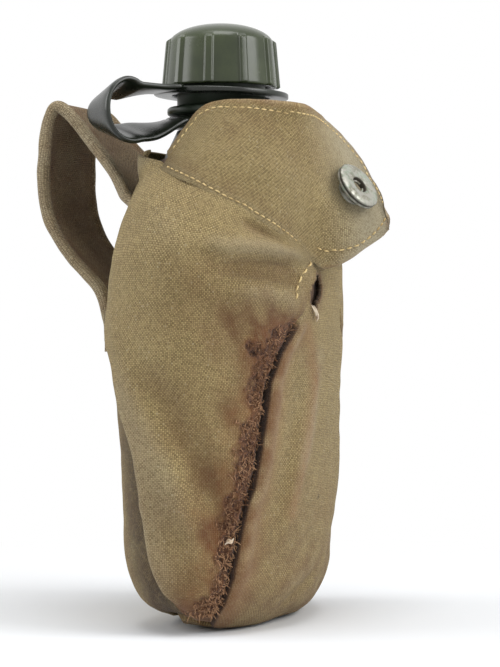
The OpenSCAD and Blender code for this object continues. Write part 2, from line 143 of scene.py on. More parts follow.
# %% [markdown]
# ## World and lamps
# The canteen stands in a white light tent. One bright lamp would give hard shadows, so the light comes from all
# round: the world is white to the camera and to gloss, and a softer grey as a lamp. Three large soft lamps stand to
# the left, to the right and above, because in a tent the edges of a thing are brighter than the side towards the
# camera.

# %% World and lamps
WORLD_LIGHT = 0.36
scene = bpy.context.scene
scene.view_settings.view_transform = "Standard"
world = bpy.data.worlds.new("tent")
scene.world = world
world.use_nodes = True
tree = world.node_tree
seen = seen_rays(tree)
backing = tree.nodes["Background"]
feed(tree, backing.inputs["Color"], (1.0, 1.0, 1.0, 1.0))
feed(tree, backing.inputs["Strength"], times_plus(tree, seen, 1 - WORLD_LIGHT, WORLD_LIGHT))


def soft_lamp(name, place, size, level):
    """A square lamp aimed at the canteen. level is its share of a plain white: power = level pi^2 distance^2."""
    data = bpy.data.lights.new(name, "AREA")
    lamp = bpy.data.objects.new(name, data)
    lamp.location = place
    reach = Vector(place) - AIM
    lamp.rotation_euler = reach.to_track_quat("Z", "Y").to_euler()
    data.shape, data.size = "SQUARE", size
    data.energy = level * math.pi**2 * reach.length_squared
    scene.collection.objects.link(lamp)


soft_lamp("lamp_left", (-0.5, 1.3, 0.7), 1.0, 0.46)
soft_lamp("lamp_right", (-0.1, -1.4, 0.95), 1.0, 0.6)
soft_lamp("lamp_top", (-0.3, -0.1, 1.7), 1.0, 0.52)
print("world and", len(bpy.data.lights), "lamps ready")

# %% [markdown]
# ## The floor
# A white sweep could be modelled, but a flat floor that fades to white is simpler. Near the canteen it is plain
# diffuse paint, so it catches a soft shadow; further out the camera sees it as pure white.

# %% Floor
floor_mesh = bpy.data.meshes.new("floor")
FLOOR, DROP = 6.0, -0.0004
FLOOR_PAINT, FADE_NEAR, FADE_FAR = (0.87, 0.89, 0.915, 1), 0.05, 0.28
floor_mesh.from_pydata([(-FLOOR, -FLOOR, DROP), (FLOOR, -FLOOR, DROP), (FLOOR, FLOOR, DROP), (-FLOOR, FLOOR, DROP)],
                       [], [(0, 1, 2, 3)])
floor = bpy.data.objects.new("floor", floor_mesh)
scene.collection.objects.link(floor)
paint = bpy.data.materials.new("floor_paint")
paint.use_nodes = True
tree = paint.node_tree
matt = tree.nodes["Principled BSDF"]
feed(tree, matt.inputs["Base Color"], FLOOR_PAINT)
feed(tree, matt.inputs["Roughness"], 0.9)
white = node(tree, "ShaderNodeEmission")
place = node(tree, "ShaderNodeTexCoord")
length = node(tree, "ShaderNodeVectorMath", operation="LENGTH")
feed(tree, length.inputs[0], place.outputs["Object"])
fade = ramp(tree, length.outputs["Value"], FADE_NEAR, FADE_FAR)
blend_white = node(tree, "ShaderNodeMixShader")
feed(tree, blend_white.inputs[0], times(tree, fade, seen_rays(tree)))
feed(tree, blend_white.inputs[1], matt.outputs[0])
feed(tree, blend_white.inputs[2], white.outputs[0])
feed(tree, tree.nodes["Material Output"].inputs["Surface"], blend_white.outputs[0])
floor_mesh.materials.append(paint)
print("floor", 2 * FLOOR, "m wide, white from", FADE_FAR, "m")

# %% [markdown]
# ## The skin
# The carrier and the bottle are layers on one skin: a flattened, kidney-shaped body whose width and depth change
# with height. It could be sculpted, but a formula lets every layer follow every other one at its own depth.
# A level cut is a superellipse, which is bent round the hip; the foot is rounded and the shoulder draws in.

# %% Skin formula
FOOT, SHOULDER, NECK, MOUTH, BACK_TOP = 22.0, 126.0, 176.0, 128.0, 166.0
EDGE_LIFT, CORNER_LIFT, FRONT_TUCK = 3.0, 3.5, 1.6
FOOT_DRAW, NECK_HALF, HIP_RADIUS = 16, 20, 150


def power(value, exponent):
    """A power that keeps the sign."""
    return np.sign(value) * np.abs(value) ** exponent


def bell(distance, width):
    """A smooth hump: 1 at distance 0, e^-1 at one width, and nothing further out."""
    return np.exp(-((distance / width) ** 2))


def skin(turn, high, off):
    """Points at an angle round the body (90 front, 180 the -X end, 270 back), a height and an offset outwards.
    Half sizes times powers of cosine and sine give the level cut; then it is wrapped on a cylinder of radius r.
    The foot's ends and rear corners are lifted and its front is drawn in, as the seams pull them."""
    turn, high, off = np.broadcast_arrays(np.radians(turn), np.asarray(high, float), np.asarray(off, float))
    up = np.clip((high - SHOULDER) / (NECK - SHOULDER), 0, 1)
    deep, broad = 1 - up**1.5, 1 - up**1.9
    tilt = np.where(high >= FOOT, np.pi / 2, np.arccos(np.clip(1 - np.maximum(high, 0) / FOOT, -1, 1)))
    draw, lean = FOOT_DRAW * (1 - np.sin(tilt)), np.sin(tilt)
    width, depth = np.interp(high, [0, 100], [58, 60]), np.interp(high, [FOOT, 100, SHOULDER], [31.5, 36.75, 33.75])
    width = NECK_HALF + (width - NECK_HALF) * broad - draw + off * lean
    depth = NECK_HALF + (depth - NECK_HALF) * deep - draw + off * lean
    exponent = 2 / np.interp(high, [0, SHOULDER, NECK], [2.05, 2.35, 2])
    r = HIP_RADIUS / np.maximum(0.02, np.interp(high, [0, 44, SHOULDER, NECK], [0.2, 1, 1, 0]))
    offset = deep * np.interp(high, [60, 100, SHOULDER], [6, 3.7, 5.5])
    side, front = width * power(np.cos(turn), exponent), depth * power(np.sin(turn), exponent)
    front = front - FRONT_TUCK * np.clip(np.sin(turn), 0, 1) * np.clip(1 - high / 75, 0, 1) ** 2
    from_back = np.abs(np.degrees(turn) % 360 - 270)
    lift = EDGE_LIFT * bell(from_back - 85, 30) + CORNER_LIFT * bell(from_back - 50, 32)
    lift = lift * np.clip(1 - high / 34, 0, 1) ** 2
    return np.stack([(r + front) * np.sin(side / r), r - (r + front) * np.cos(side / r) - offset,
                     high - off * np.cos(tilt) + lift], -1)


chest = np.linalg.norm(np.diff(skin(np.arange(361), 100, 0), axis=0), axis=1).sum()
print("girth at the chest", round(float(chest)), "mm")

# %% [markdown]
# ## Seam lines
# The pieces of cloth meet in seams. A seam could be a curve in space, but on the skin it is only an angle that
# changes with height, or a height that changes with the angle. A few knots with straight lines between them are
# enough, because folds and hems hide the corners.

# %% Seam lines


def gore_front(high):
    """Angle of the side gore's front edge at a height."""
    share = [0, 0.078, 0.156, 0.39, 0.672, 0.75, 0.828, 0.898, 1]
    return np.interp(np.asarray(high) / MOUTH, share, [158, 147, 140, 127, 120, 115, 106.5, 101, 97])


def gore_back(high):
    """Angle of the side gore's rear edge at a height."""
    return np.interp(np.asarray(high) / SHOULDER, [0, 0.127, 0.397, 0.595, 1], [171, 177, 193, 207, 228])


def seam_height(share):
    """Height of the seam between gore and flap, from the front (0) to the back (1)."""
    rise = np.interp(share, [0, 0.12, 0.27, 0.52, 0.8, 1], [0.132, 0.263, 0.474, 0.71, 0.921, 1])
    return MOUTH + (BACK_TOP - MOUTH) * rise


print("gore from", round(float(gore_front(60))), "to", round(float(gore_back(60))), "degrees at its middle")

# %% [markdown]
# ## From a grid to a piece
# Blender's own tools could extrude each sheet, but a grid of points is enough: neighbours in the grid become
# squares, and slopes along the grid give directions. The signed volume tells whether faces point outwards.

# %% Mesh helpers


def squares(rows, cols, closed=False):
    """Corner numbers of the squares of a grid; closed joins the last column to the first."""
    i, j = np.meshgrid(np.arange(rows - 1), np.arange(cols if closed else cols - 1), indexing="ij")
    k = (j + 1) % cols
    return np.stack([i * cols + j, i * cols + k, (i + 1) * cols + k, (i + 1) * cols + j], -1).reshape(-1, 4)


def unit(vectors):
    """Vectors of length 1."""
    return vectors / np.maximum(np.linalg.norm(vectors, axis=-1, keepdims=True), 1e-9)


def grid_normals(grid):
    """Directions across a grid of points, from its slopes along rows and columns."""
    return unit(np.cross(np.gradient(grid, axis=1), np.gradient(grid, axis=0)))


def outward(grid):
    """Grid normals, turned as a whole so that they point away from the body's upright axis."""
    normals = grid_normals(grid)
    return normals * np.sign((normals[..., :2] * grid[..., :2]).sum())


def volume(points, faces):
    """Signed volume of a closed mesh of squares, as a sum of tetrahedra."""
    a, b, c, d = (points[faces[:, k]] for k in range(4))
    return float((np.einsum("ij,ij->i", a, np.cross(b, c)) + np.einsum("ij,ij->i", a, np.cross(c, d))).sum() / 6)


def make_piece(name, points, faces, finish, body, uv=None, paint=None):
    """A mesh object at the origin from points in mm and squares; paint is a set of named values per point.
    A square with two equal corners becomes a triangle. body is None for a piece that is left without a body."""
    if volume(points, faces) < 0:
        faces = faces[:, ::-1]
    rows = [[c for k, c in enumerate(f) if c != f[k - 1]] for f in faces.tolist()]
    mesh = bpy.data.meshes.new(name)
    mesh.from_pydata((points * MM).tolist(), [], rows)
    mesh.polygons.foreach_set("use_smooth", np.ones(len(mesh.polygons), bool))
    if uv is not None:
        corner = np.empty(len(mesh.loops), np.int32)
        mesh.loops.foreach_get("vertex_index", corner)
        mesh.uv_layers.new(name="cloth").data.foreach_set("uv", uv[corner].astype(np.float32).ravel())
    for key, values in (paint or {}).items():
        mesh.attributes.new(key, "FLOAT", "POINT").data.foreach_set("value", values.astype(np.float32).ravel())
    mesh.materials.append(finish)
    piece = bpy.data.objects.new(name, mesh)
    scene.collection.objects.link(piece)
    if body:
        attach(piece, body)
    print(f"{name}: {len(rows)} faces")
    return piece


print("mesh helpers ready")

# %% [markdown]
# ## A closed sheet of cloth
# Real cloth has a thickness, and its cut edge is turned under. A modifier could thicken a surface, but it would give
# sharp rims. So a cloth piece has an outer grid, an inner grid one thickness behind it, and a rim that bulges a
# little, which catches the light as folded cloth does.

# %% Cloth helper


def cloth(name, outer, thick, finish, body, paint, uv, way=None, torn=None):
    """A closed sheet from an outer grid: the inner grid lies one thickness behind along the given directions, or
    else against the normals, and the rim stands half a thickness past the edge. uv is in mm, 100 mm to a unit.
    torn marks squares that are missing; walls close the cloth round them."""
    rows, cols = outer.shape[:2]
    thick = np.broadcast_to(thick, (rows, cols))[..., None]
    inner = outer - (outward(outer) if way is None else way) * thick
    past = np.zeros_like(outer)
    past[0] += unit(outer[0] - outer[1])
    past[-1] += unit(outer[-1] - outer[-2])
    past[:, 0] += unit(outer[:, 0] - outer[:, 1])
    past[:, -1] += unit(outer[:, -1] - outer[:, -2])
    rim = (outer + inner) / 2 + unit(past) * thick / 2
    index = np.arange(rows * cols).reshape(rows, cols)
    edge = np.concatenate([index[0, :-1], index[:-1, -1], index[-1, :0:-1], index[:0:-1, 0]])
    count = rows * cols
    line = 2 * count + np.arange(len(edge))
    after, line_after = np.roll(edge, -1), np.roll(line, -1)
    face = squares(rows, cols)
    walls = np.empty((0, 4), int)
    if torn is not None:
        face = face[~torn.reshape(-1)]
        down, right = np.nonzero(torn[1:] != torn[:-1]), np.nonzero(torn[:, 1:] != torn[:, :-1])
        a = np.concatenate([index[down[0] + 1, down[1]], index[right[0], right[1] + 1]])
        b = np.concatenate([index[down[0] + 1, down[1] + 1], index[right[0] + 1, right[1] + 1]])
        swap = np.concatenate([torn[1:][down], ~torn[:, 1:][right]])
        a, b = np.where(swap, a, b), np.where(swap, b, a)
        walls = np.stack([a, b, b + count, a + count], -1)
    faces = np.concatenate([face, face[:, ::-1] + count, np.stack([after, edge, line, line_after], -1),
                            np.stack([line_after, line, edge + count, after + count], -1), walls])

    def spread(values):
        flat = values.reshape(count, -1)
        return np.concatenate([flat, flat, flat[edge]])

    points = np.concatenate([outer.reshape(-1, 3), inner.reshape(-1, 3), rim.reshape(-1, 3)[edge]])
    paints = {key: spread(np.broadcast_to(values, (rows, cols))) for key, values in paint.items()}
    return make_piece(name, points, faces, finish, body, spread(uv) / 100, paints)


print("cloth helper ready")

# %% [markdown]
# ## Lengths on the cloth
# The weave must not stretch where a sheet is wide, and hems and stitches keep their distance from an edge. Both need
# lengths in millimetres measured along the cloth. A box projection would be quicker, but it smears round the sides.

# %% Length helpers


def arc(grid, axis):
    """Length along a grid's rows (axis 1) or columns (axis 0), from the start of each."""
    step = np.linalg.norm(np.diff(grid, axis=axis), axis=-1)
    start = np.zeros_like(np.take(grid[..., 0], [0], axis=axis))
    return np.concatenate([start, np.cumsum(step, axis=axis)], axis=axis)


def cloth_map(grid, middle):
    """Map of a sheet in mm: across from the middle column of each row, and up along the middle column."""
    across, along = arc(grid, 1), arc(grid, 0)
    here = slice(middle, middle + 1)
    return np.stack([across - across[:, here], np.broadcast_to(along[:, here], across.shape)], -1)


def on_path(path, reach, at):
    """Points of a line through 3-D knots: reach holds the run at each knot, and at the runs that are asked for."""
    return np.stack([np.interp(at, reach, path[:, k]) for k in range(3)], -1)


print("length helpers ready")

# %% [markdown]
# ## Folds, bumps and stains
# Cloth that has been carried for years isn't smooth. A cloth simulation could crumple it, but the folds of this
# carrier are known, so each is placed one by one: a line on the skin, a width and a height. A stain is the same
# thing in colour. Small unevenness is a sum of a few waves in seeded directions, which is smooth and repeatable.

# %% Fold and stain helpers
LINE_STEPS, WAVES = 70, 11


def soft_step(value, low, high):
    """0 below low, 1 above high, smooth between; high may be lower than low."""
    f = np.clip((value - low) / (high - low), 0, 1)
    return f * f * (3 - 2 * f)


def from_line(points, line):
    """Distance of each point from a line through 3-D knots, and the share of the line's length where that is."""
    line = np.asarray(line, float)
    reach = arc(line[None], 1)[0]
    share = np.linspace(0, 1, LINE_STEPS)
    path = on_path(line, reach, share * reach[-1])
    flat = points.reshape(-1, 3)
    gap = np.sqrt(np.maximum(0, (flat**2).sum(1)[:, None] + (path**2).sum(1) - 2 * flat @ path.T))
    near = gap.argmin(1)
    shape = points.shape[:-1]
    return gap[np.arange(len(flat)), near].reshape(shape), share[near].reshape(shape)


def fold(points, turns, heights, width, height, off=1.7):
    """A ridge (or a valley where height is negative) along a line on the skin, fading at both ends."""
    gap, share = from_line(points, skin(np.array(turns), np.array(heights), off))
    return height * bell(gap, width) * np.sin(np.pi * np.clip(share, 0.02, 0.98)) ** 0.6


def near_line(points, line, width):
    """1 on a line through 3-D knots, fading over a width beside it."""
    return bell(from_line(points, line)[0], width)


def blot(points, turns, heights, width, off=1.7):
    """A stain from 0 to 1 along a line on the skin."""
    return near_line(points, skin(np.array(turns), np.array(heights), off), width)


def uneven(points, length, seed):
    """Soft unevenness, mostly between -1 and 1: plane waves of about one length in seeded directions, added."""
    rng = np.random.default_rng(seed)
    way = unit(rng.normal(size=(WAVES, 3))) * (2 * np.pi / (length * rng.uniform(0.7, 1.5, (WAVES, 1))))
    return np.sin(points @ way.T + rng.uniform(0, 2 * np.pi, WAVES)).sum(-1) / math.sqrt(WAVES)


print("fold helpers ready")

# %% [markdown]
# ## Parts of a finish
# Every finish below is built from the same parts: mixed colours, values that were painted on the points of a piece,
# noise, and bumps. Pictures could be wrapped round the pieces, but these follow any shape and show no edges.

# %% Finish helpers


def mixed(tree, factor, first, second):
    """The output of a colour mix."""
    made = node(tree, "ShaderNodeMix", data_type="RGBA")
    feed(tree, made.inputs["Factor"], factor)
    for socket, value in ((made.inputs[6], first), (made.inputs[7], second)):
        feed(tree, socket, value if isinstance(value, bpy.types.NodeSocket) else (*value, 1))
    return made.outputs[2]


def attribute(tree, name):
    """A painted value of the piece."""
    return node(tree, "ShaderNodeAttribute", attribute_name=name).outputs["Fac"]


def noise(tree, vector, scale, detail, roughness=0.55):
    """A noise between 0 and 1 at a scale in cycles per unit of the vector."""
    made = node(tree, "ShaderNodeTexNoise")
    feed(tree, made.inputs["Vector"], vector)
    feed(tree, made.inputs["Scale"], scale)
    feed(tree, made.inputs["Detail"], detail)
    feed(tree, made.inputs["Roughness"], roughness)
    return made.outputs["Fac"]


def bumped(tree, shader, height, depth, share):
    """Bump of a depth in metres on a shader."""
    made = node(tree, "ShaderNodeBump")
    feed(tree, made.inputs["Height"], height)
    feed(tree, made.inputs["Distance"], depth)
    feed(tree, made.inputs["Strength"], share)
    feed(tree, shader.inputs["Normal"], made.outputs["Normal"])


def new_finish(name, rough, specular=0.3):
    """A material with its tree, its shader and its object coordinates."""
    made = bpy.data.materials.new(name)
    made.use_nodes = True
    shader = made.node_tree.nodes["Principled BSDF"]
    shader.inputs["Roughness"].default_value = rough
    shader.inputs["Specular IOR Level"].default_value = specular
    return made, made.node_tree, shader, node(made.node_tree, "ShaderNodeTexCoord").outputs["Object"]


print("finish helpers ready")

# %% [markdown]
# ## The canvas finish
# Canvas is a plain weave: at each crossing one thread lies on top, and its neighbours lie below. A picture of
# cloth could be tiled, but a weave is easy to write: the fractions of the map across and along give a small
# rounded mound per crossing, long one way or the other by turns. The mounds drive both the bump and the colour,
# so the colour is darker between the threads as painted shade. Single pale crossings are flecks, and the painted
# values of each piece bring in the stains and the wear, and painted shade and highlights.

# %% Canvas material
CANVAS_LIGHT, CANVAS_DARK = (0.565, 0.435, 0.20), (0.15, 0.102, 0.038)
WORN_LIGHT, WORN_DARK = (0.30, 0.135, 0.062), (0.06, 0.021, 0.009)
# The last colour is the dark brown of painted shade, and of a few small dark marks.
BROWN, RUST, PALE, SHADE_AND_MARKS = (0.125, 0.044, 0.015), (0.30, 0.125, 0.04), (0.46, 0.40, 0.27), (0.03, 0.018, 0.011)


def woven(name, pitch, light, dark, depth, ratio=1.0):
    """A woven finish. pitch is the distance of threads in mm; ratio stretches it along the piece.
    With fractions f and g of a crossing, the mound is (1-(2f-1)^2)^a (1-(2g-1)^2)^b, a and b changing places."""
    made, tree, shader, here = new_finish(name, 0.92, 0.15)
    split = node(tree, "ShaderNodeSeparateXYZ")
    feed(tree, split.inputs[0], node(tree, "ShaderNodeUVMap", uv_map="cloth").outputs[0])
    sway = times(tree, maths(tree, "SUBTRACT", noise(tree, here, 90.0, 2.0), 0.5), 3.0)
    cross = added(tree, times(tree, split.outputs[0], 100 / pitch), sway)
    along = added(tree, times(tree, split.outputs[1], 100 / (pitch * ratio)), sway)
    cell = [maths(tree, "FLOOR", value) for value in (cross, along)]
    bow = []
    for value in (cross, along):
        middle = times_plus(tree, maths(tree, "FRACT", value), 2.0, -1.0)
        bow.append(maths(tree, "SUBTRACT", 1.0, times(tree, middle, middle)))
    over = maths(tree, "MODULO", maths(tree, "ABSOLUTE", added(tree, cell[0], cell[1])), 2.0)
    warp = times(tree, bow[0], maths(tree, "POWER", bow[1], 0.35))
    weft = times(tree, maths(tree, "POWER", bow[0], 0.35), bow[1])
    mound = node(tree, "ShaderNodeMix")
    for socket, value in zip((mound.inputs[0], mound.inputs[2], mound.inputs[3]), (over, weft, warp)):
        feed(tree, socket, value)
    mound = mound.outputs[0]
    where = node(tree, "ShaderNodeCombineXYZ")
    feed(tree, where.inputs[0], cell[0])
    feed(tree, where.inputs[1], cell[1])
    chance = node(tree, "ShaderNodeTexWhiteNoise", noise_dimensions="2D")
    feed(tree, chance.inputs["Vector"], where.outputs[0])
    fleck = ramp(tree, chance.outputs["Value"], 0.975, 1.0)
    patch = noise(tree, here, 38.0, 4.0, 0.6)
    # The pale value is partly painted highlight, on raised folds and on the flap's free end, and partly wear.
    worn = attribute(tree, "pale")
    # The colour follows the mounds, so it is darker between the threads: painted shade.
    tone = added(tree, times(tree, mound, 0.55), times(tree, patch, 0.34))
    tone = added(tree, tone, times(tree, chance.outputs["Value"], 0.4))
    tone = added(tree, tone, times(tree, over, 0.3))
    colour = mixed(tree, maths(tree, "SUBTRACT", tone, 0.4, clamp=True), dark, light)
    colour = mixed(tree, times(tree, fleck, 0.45), colour, PALE)
    colour = mixed(tree, times(tree, worn, ramp(tree, tone, 0.2, 0.9)), colour, PALE)
    grain = noise(tree, here, 420.0, 3.0, 0.7)
    patchy = times_plus(tree, times(tree, ramp(tree, grain, 0.05, 0.62), ramp(tree, patch, 0.1, 0.6)), 0.55, 0.4)
    # Brown also lays painted shade in valleys and creases; the darkest colour is mostly painted shade, with a few dark
    # marks.
    for darkening, key in ((BROWN, "brown"), (RUST, "rust"), (SHADE_AND_MARKS, "shade_and_marks")):
        colour = mixed(tree, times(tree, attribute(tree, key), patchy), colour, darkening)
        if key == "brown":
            knots = noise(tree, here, 950.0, 4.0, 0.75)
            furry = mixed(tree, ramp(tree, knots, 0.36, 0.68), WORN_DARK, WORN_LIGHT)
            colour = mixed(tree, times(tree, attribute(tree, "fray"), 0.93), colour, furry)
    feed(tree, shader.inputs["Base Color"], colour)
    shader.inputs["Sheen Weight"].default_value = 0.12
    shader.inputs["Sheen Roughness"].default_value = 0.6
    fuzz = times(tree, times(tree, knots, attribute(tree, "fray")), 5.0)
    bumped(tree, shader, added(tree, mound, fuzz), depth * MM, 0.9)
    return made


canvas = woven("canvas", 0.61, CANVAS_LIGHT, CANVAS_DARK, 0.28)
webbing = woven("webbing", 1.0, (0.42, 0.31, 0.17), (0.13, 0.085, 0.038), 0.35, 0.7)
CLEAN = {"pale": 0.0, "brown": 0.0, "rust": 0.0, "shade_and_marks": 0.0, "fray": 0.0}
print("canvas and webbing ready")

# %% [markdown]
# ## Felt, thread, plastic and metal
# Felt has no threads in order, so two noises make its colour and its lumps. Sewing thread is twisted, which fine
# noise suggests at this size. The moulded plastic is a dark green with a soft gloss that handling has made
# uneven, and the snap's metal has gone dull, with grey-green corrosion where it isn't rubbed.

# %% Other materials


def felt_finish(name, light, dark):
    """Felt: lumps at two sizes, rough and a little furry."""
    made, tree, shader, here = new_finish(name, 0.97, 0.1)
    lumps = noise(tree, here, 260.0, 5.0, 0.75)
    patch = noise(tree, here, 45.0, 3.0)
    tone = added(tree, lumps, times(tree, patch, 0.5))
    colour = mixed(tree, ramp(tree, tone, 0.45, 1.05), dark, light)
    feed(tree, shader.inputs["Base Color"], colour)
    shader.inputs["Sheen Weight"].default_value = 0.25
    bumped(tree, shader, lumps, 1.2 * MM, 0.9)
    return made


def thread_finish(name, light, dark):
    """Sewing thread: pale, with darker twists and dirt."""
    made, tree, shader, here = new_finish(name, 0.85, 0.2)
    twist = noise(tree, here, 900.0, 2.0)
    dirt = noise(tree, here, 90.0, 2.0)
    colour = mixed(tree, ramp(tree, added(tree, twist, dirt), 0.7, 1.25), dark, light)
    feed(tree, shader.inputs["Base Color"], colour)
    bumped(tree, shader, twist, 0.15 * MM, 0.6)
    return made


def plastic_finish(name, light, dark, rough):
    """Moulded plastic: handling has made the gloss uneven, and dust lies in soft patches."""
    made, tree, shader, here = new_finish(name, rough, 0.5)
    patch = noise(tree, here, 55.0, 4.0, 0.6)
    grain = noise(tree, here, 700.0, 2.0)
    feed(tree, shader.inputs["Base Color"], mixed(tree, ramp(tree, patch, 0.3, 0.75), dark, light))
    level = times_plus(tree, patch, 0.28, rough - 0.12)
    feed(tree, shader.inputs["Roughness"], added(tree, level, times(tree, grain, 0.06)))
    bumped(tree, shader, added(tree, times(tree, grain, 0.25), patch), 0.12 * MM, 0.35)
    return made


def metal_finish(name):
    """Weathered snap metal: bare dull metal where it is rubbed, grey-green corrosion elsewhere."""
    made, tree, shader, here = new_finish(name, 0.5)
    blotch = noise(tree, here, 420.0, 5.0, 0.65)
    fine = noise(tree, here, 1700.0, 3.0, 0.6)
    rot = ramp(tree, added(tree, blotch, times(tree, fine, 0.25)), 0.52, 0.78)
    bare = mixed(tree, fine, (0.34, 0.33, 0.28), (0.46, 0.45, 0.40))
    green = mixed(tree, ramp(tree, noise(tree, here, 260.0, 2.0), 0.4, 0.65), (0.20, 0.19, 0.14), (0.27, 0.33, 0.26))
    # The painted value is painted shade on the snap's side wall and in its hole: dark and not metallic.
    dirt = attribute(tree, "snap_shade")
    feed(tree, shader.inputs["Base Color"], mixed(tree, dirt, mixed(tree, rot, bare, green), (0.05, 0.04, 0.028)))
    shine = maths(tree, "SUBTRACT", 0.9, times(tree, rot, 0.75))
    feed(tree, shader.inputs["Metallic"], times(tree, shine, maths(tree, "SUBTRACT", 1.0, dirt)))
    feed(tree, shader.inputs["Roughness"], added(tree, times(tree, rot, 0.35), 0.38))
    bumped(tree, shader, added(tree, blotch, times(tree, fine, 0.4)), 0.25 * MM, 0.5)
    return made


felt = felt_finish("felt", (0.23, 0.14, 0.085), (0.07, 0.035, 0.018))
thread = thread_finish("thread", (0.86, 0.67, 0.34), (0.52, 0.37, 0.17))
lint = thread_finish("lint", (0.72, 0.62, 0.48), (0.42, 0.27, 0.15))
fur = thread_finish("fur", (0.46, 0.27, 0.15), (0.10, 0.04, 0.018))
bottle_plastic = plastic_finish("bottle_plastic", (0.035, 0.05, 0.03), (0.02, 0.03, 0.018), 0.36)
cap_plastic = plastic_finish("cap_plastic", (0.045, 0.059, 0.022), (0.026, 0.036, 0.013), 0.19)
strap_plastic = plastic_finish("strap_plastic", (0.014, 0.019, 0.011), (0.006, 0.008, 0.005), 0.24)
rubber = plastic_finish("gasket_rubber", (0.03, 0.03, 0.03), (0.015, 0.015, 0.015), 0.7)
snap_metal = metal_finish("snap_metal")
print("9 more finishes ready")

# %% [markdown]
# ## The side gores
# Each side of the carrier is closed by a leaf-shaped gore that is sewn over the edges of the front and the back
# panel. On the left one the front seam has split: its edge has worn to a furry brown strip beside a gap that is
# dark with painted shade, and the rear edge rolls over in a deep crease. The sheet follows the skin; four things
# are added to its offset: the roll of the edges, the folds, roughness in the worn strip, and a rear top edge that
# stands up from the shoulder. The folds are a table: angles and heights of a line, a width, and a height that is
# negative for a valley. Valleys get painted shade and raised folds a painted highlight. The other gore is the
# mirrored sheet, less worn.

# %% Gore lines
GORE_LOW, GORE_OUT, CANVAS_THICK, FLAP_REAR = 2.4, 1.7, 1.4, 197
STAND_FROM, STAND_RISE, STAND_SLOPE = 157, 9, 0.5
GORE_FOLDS = (
    ([135, 123, 110], [142, 138.5, 133.5], 3.6, -3.6),
    ([152, 137, 119, 101], [134, 131.5, 131.5, 130.5], 3.8, 4.2),
    ([142, 126, 114, 104], [126, 125, 123.5, 120], 5.0, -4.2),
    ([137, 124, 113, 106], [117, 117.5, 115.5, 111.5], 5.0, 3.0),
    ([196, 184, 172, 161, 156, 153], [102, 84, 67, 50, 35, 18], 5.5, 2.6),
    ([178, 163, 147, 142], [94, 75, 46, 22], 6.5, -2.2),
    ([160, 148, 137, 127], [120, 113, 105, 98], 8, -1.6),
    ([196, 178, 160, 146], [150, 143, 130, 114], 7, 1.3),
    ([215, 205, 196], [128, 112, 98], 7, 0.9),
)


def drawn_forward(high):
    """Degrees by which the worn gore's rear edge has drawn forwards below the middle; at the foot it spreads."""
    levels = [6, 14, 20, 27, 33, 40, 47, 60, 72, 84, 96, 108]
    return np.interp(high, levels, [-4.5, -4.8, -2.1, 0.7, 4, 8.3, 11.6, 14.6, 15.8, 12, 6, 0])


def gore_grid_places(rows, cols, extra, worn):
    """Angles and heights of the gore's grid: columns lie closer at the front edge, and rows end on the seam."""
    even = np.linspace(0, 1, cols)
    across = 0.42 * even + 0.58 * even**2.6
    body = np.broadcast_to(np.linspace(GORE_LOW, SHOULDER, rows)[:, None], (rows, cols))
    up = np.linspace(0, 1, extra + 1)[1:, None]
    high = np.concatenate([body, SHOULDER + (seam_height(across) - SHOULDER) * up])
    rear = gore_back(high) - worn * drawn_forward(high)
    return gore_front(high) + (rear - gore_front(high)) * across, high


def standing(turn, high):
    """Offset that lets the rear top edge stand up from the shoulder: a slope over the last millimetres of height."""
    rise = STAND_SLOPE * np.clip(high - STAND_FROM, 0, STAND_RISE)
    return rise * soft_step(turn, 200, 218) * soft_step(turn, 266, 240)


def strip_width(high):
    """Width in mm of the worn strip along the split seam."""
    levels = [0, 8, 22, 32, 48, 62, 80, 92, 99, 104, 109]
    return np.interp(high, levels, [11, 9, 6.5, 7.0, 9.5, 9.5, 7.5, 9, 14, 12, 7])


print("rear edge drawn forwards by up to", float(drawn_forward(np.arange(120)).max().round(1)), "degrees")

# %% [markdown]
# ## The gore's sheet
# A sculpted gore would look right once, but it couldn't be changed. Here every roll, lump and stain is a term that
# is added in turn, so each can be found and altered: first the edges, then the worn strip, then the folds.

# %% Gore sheets


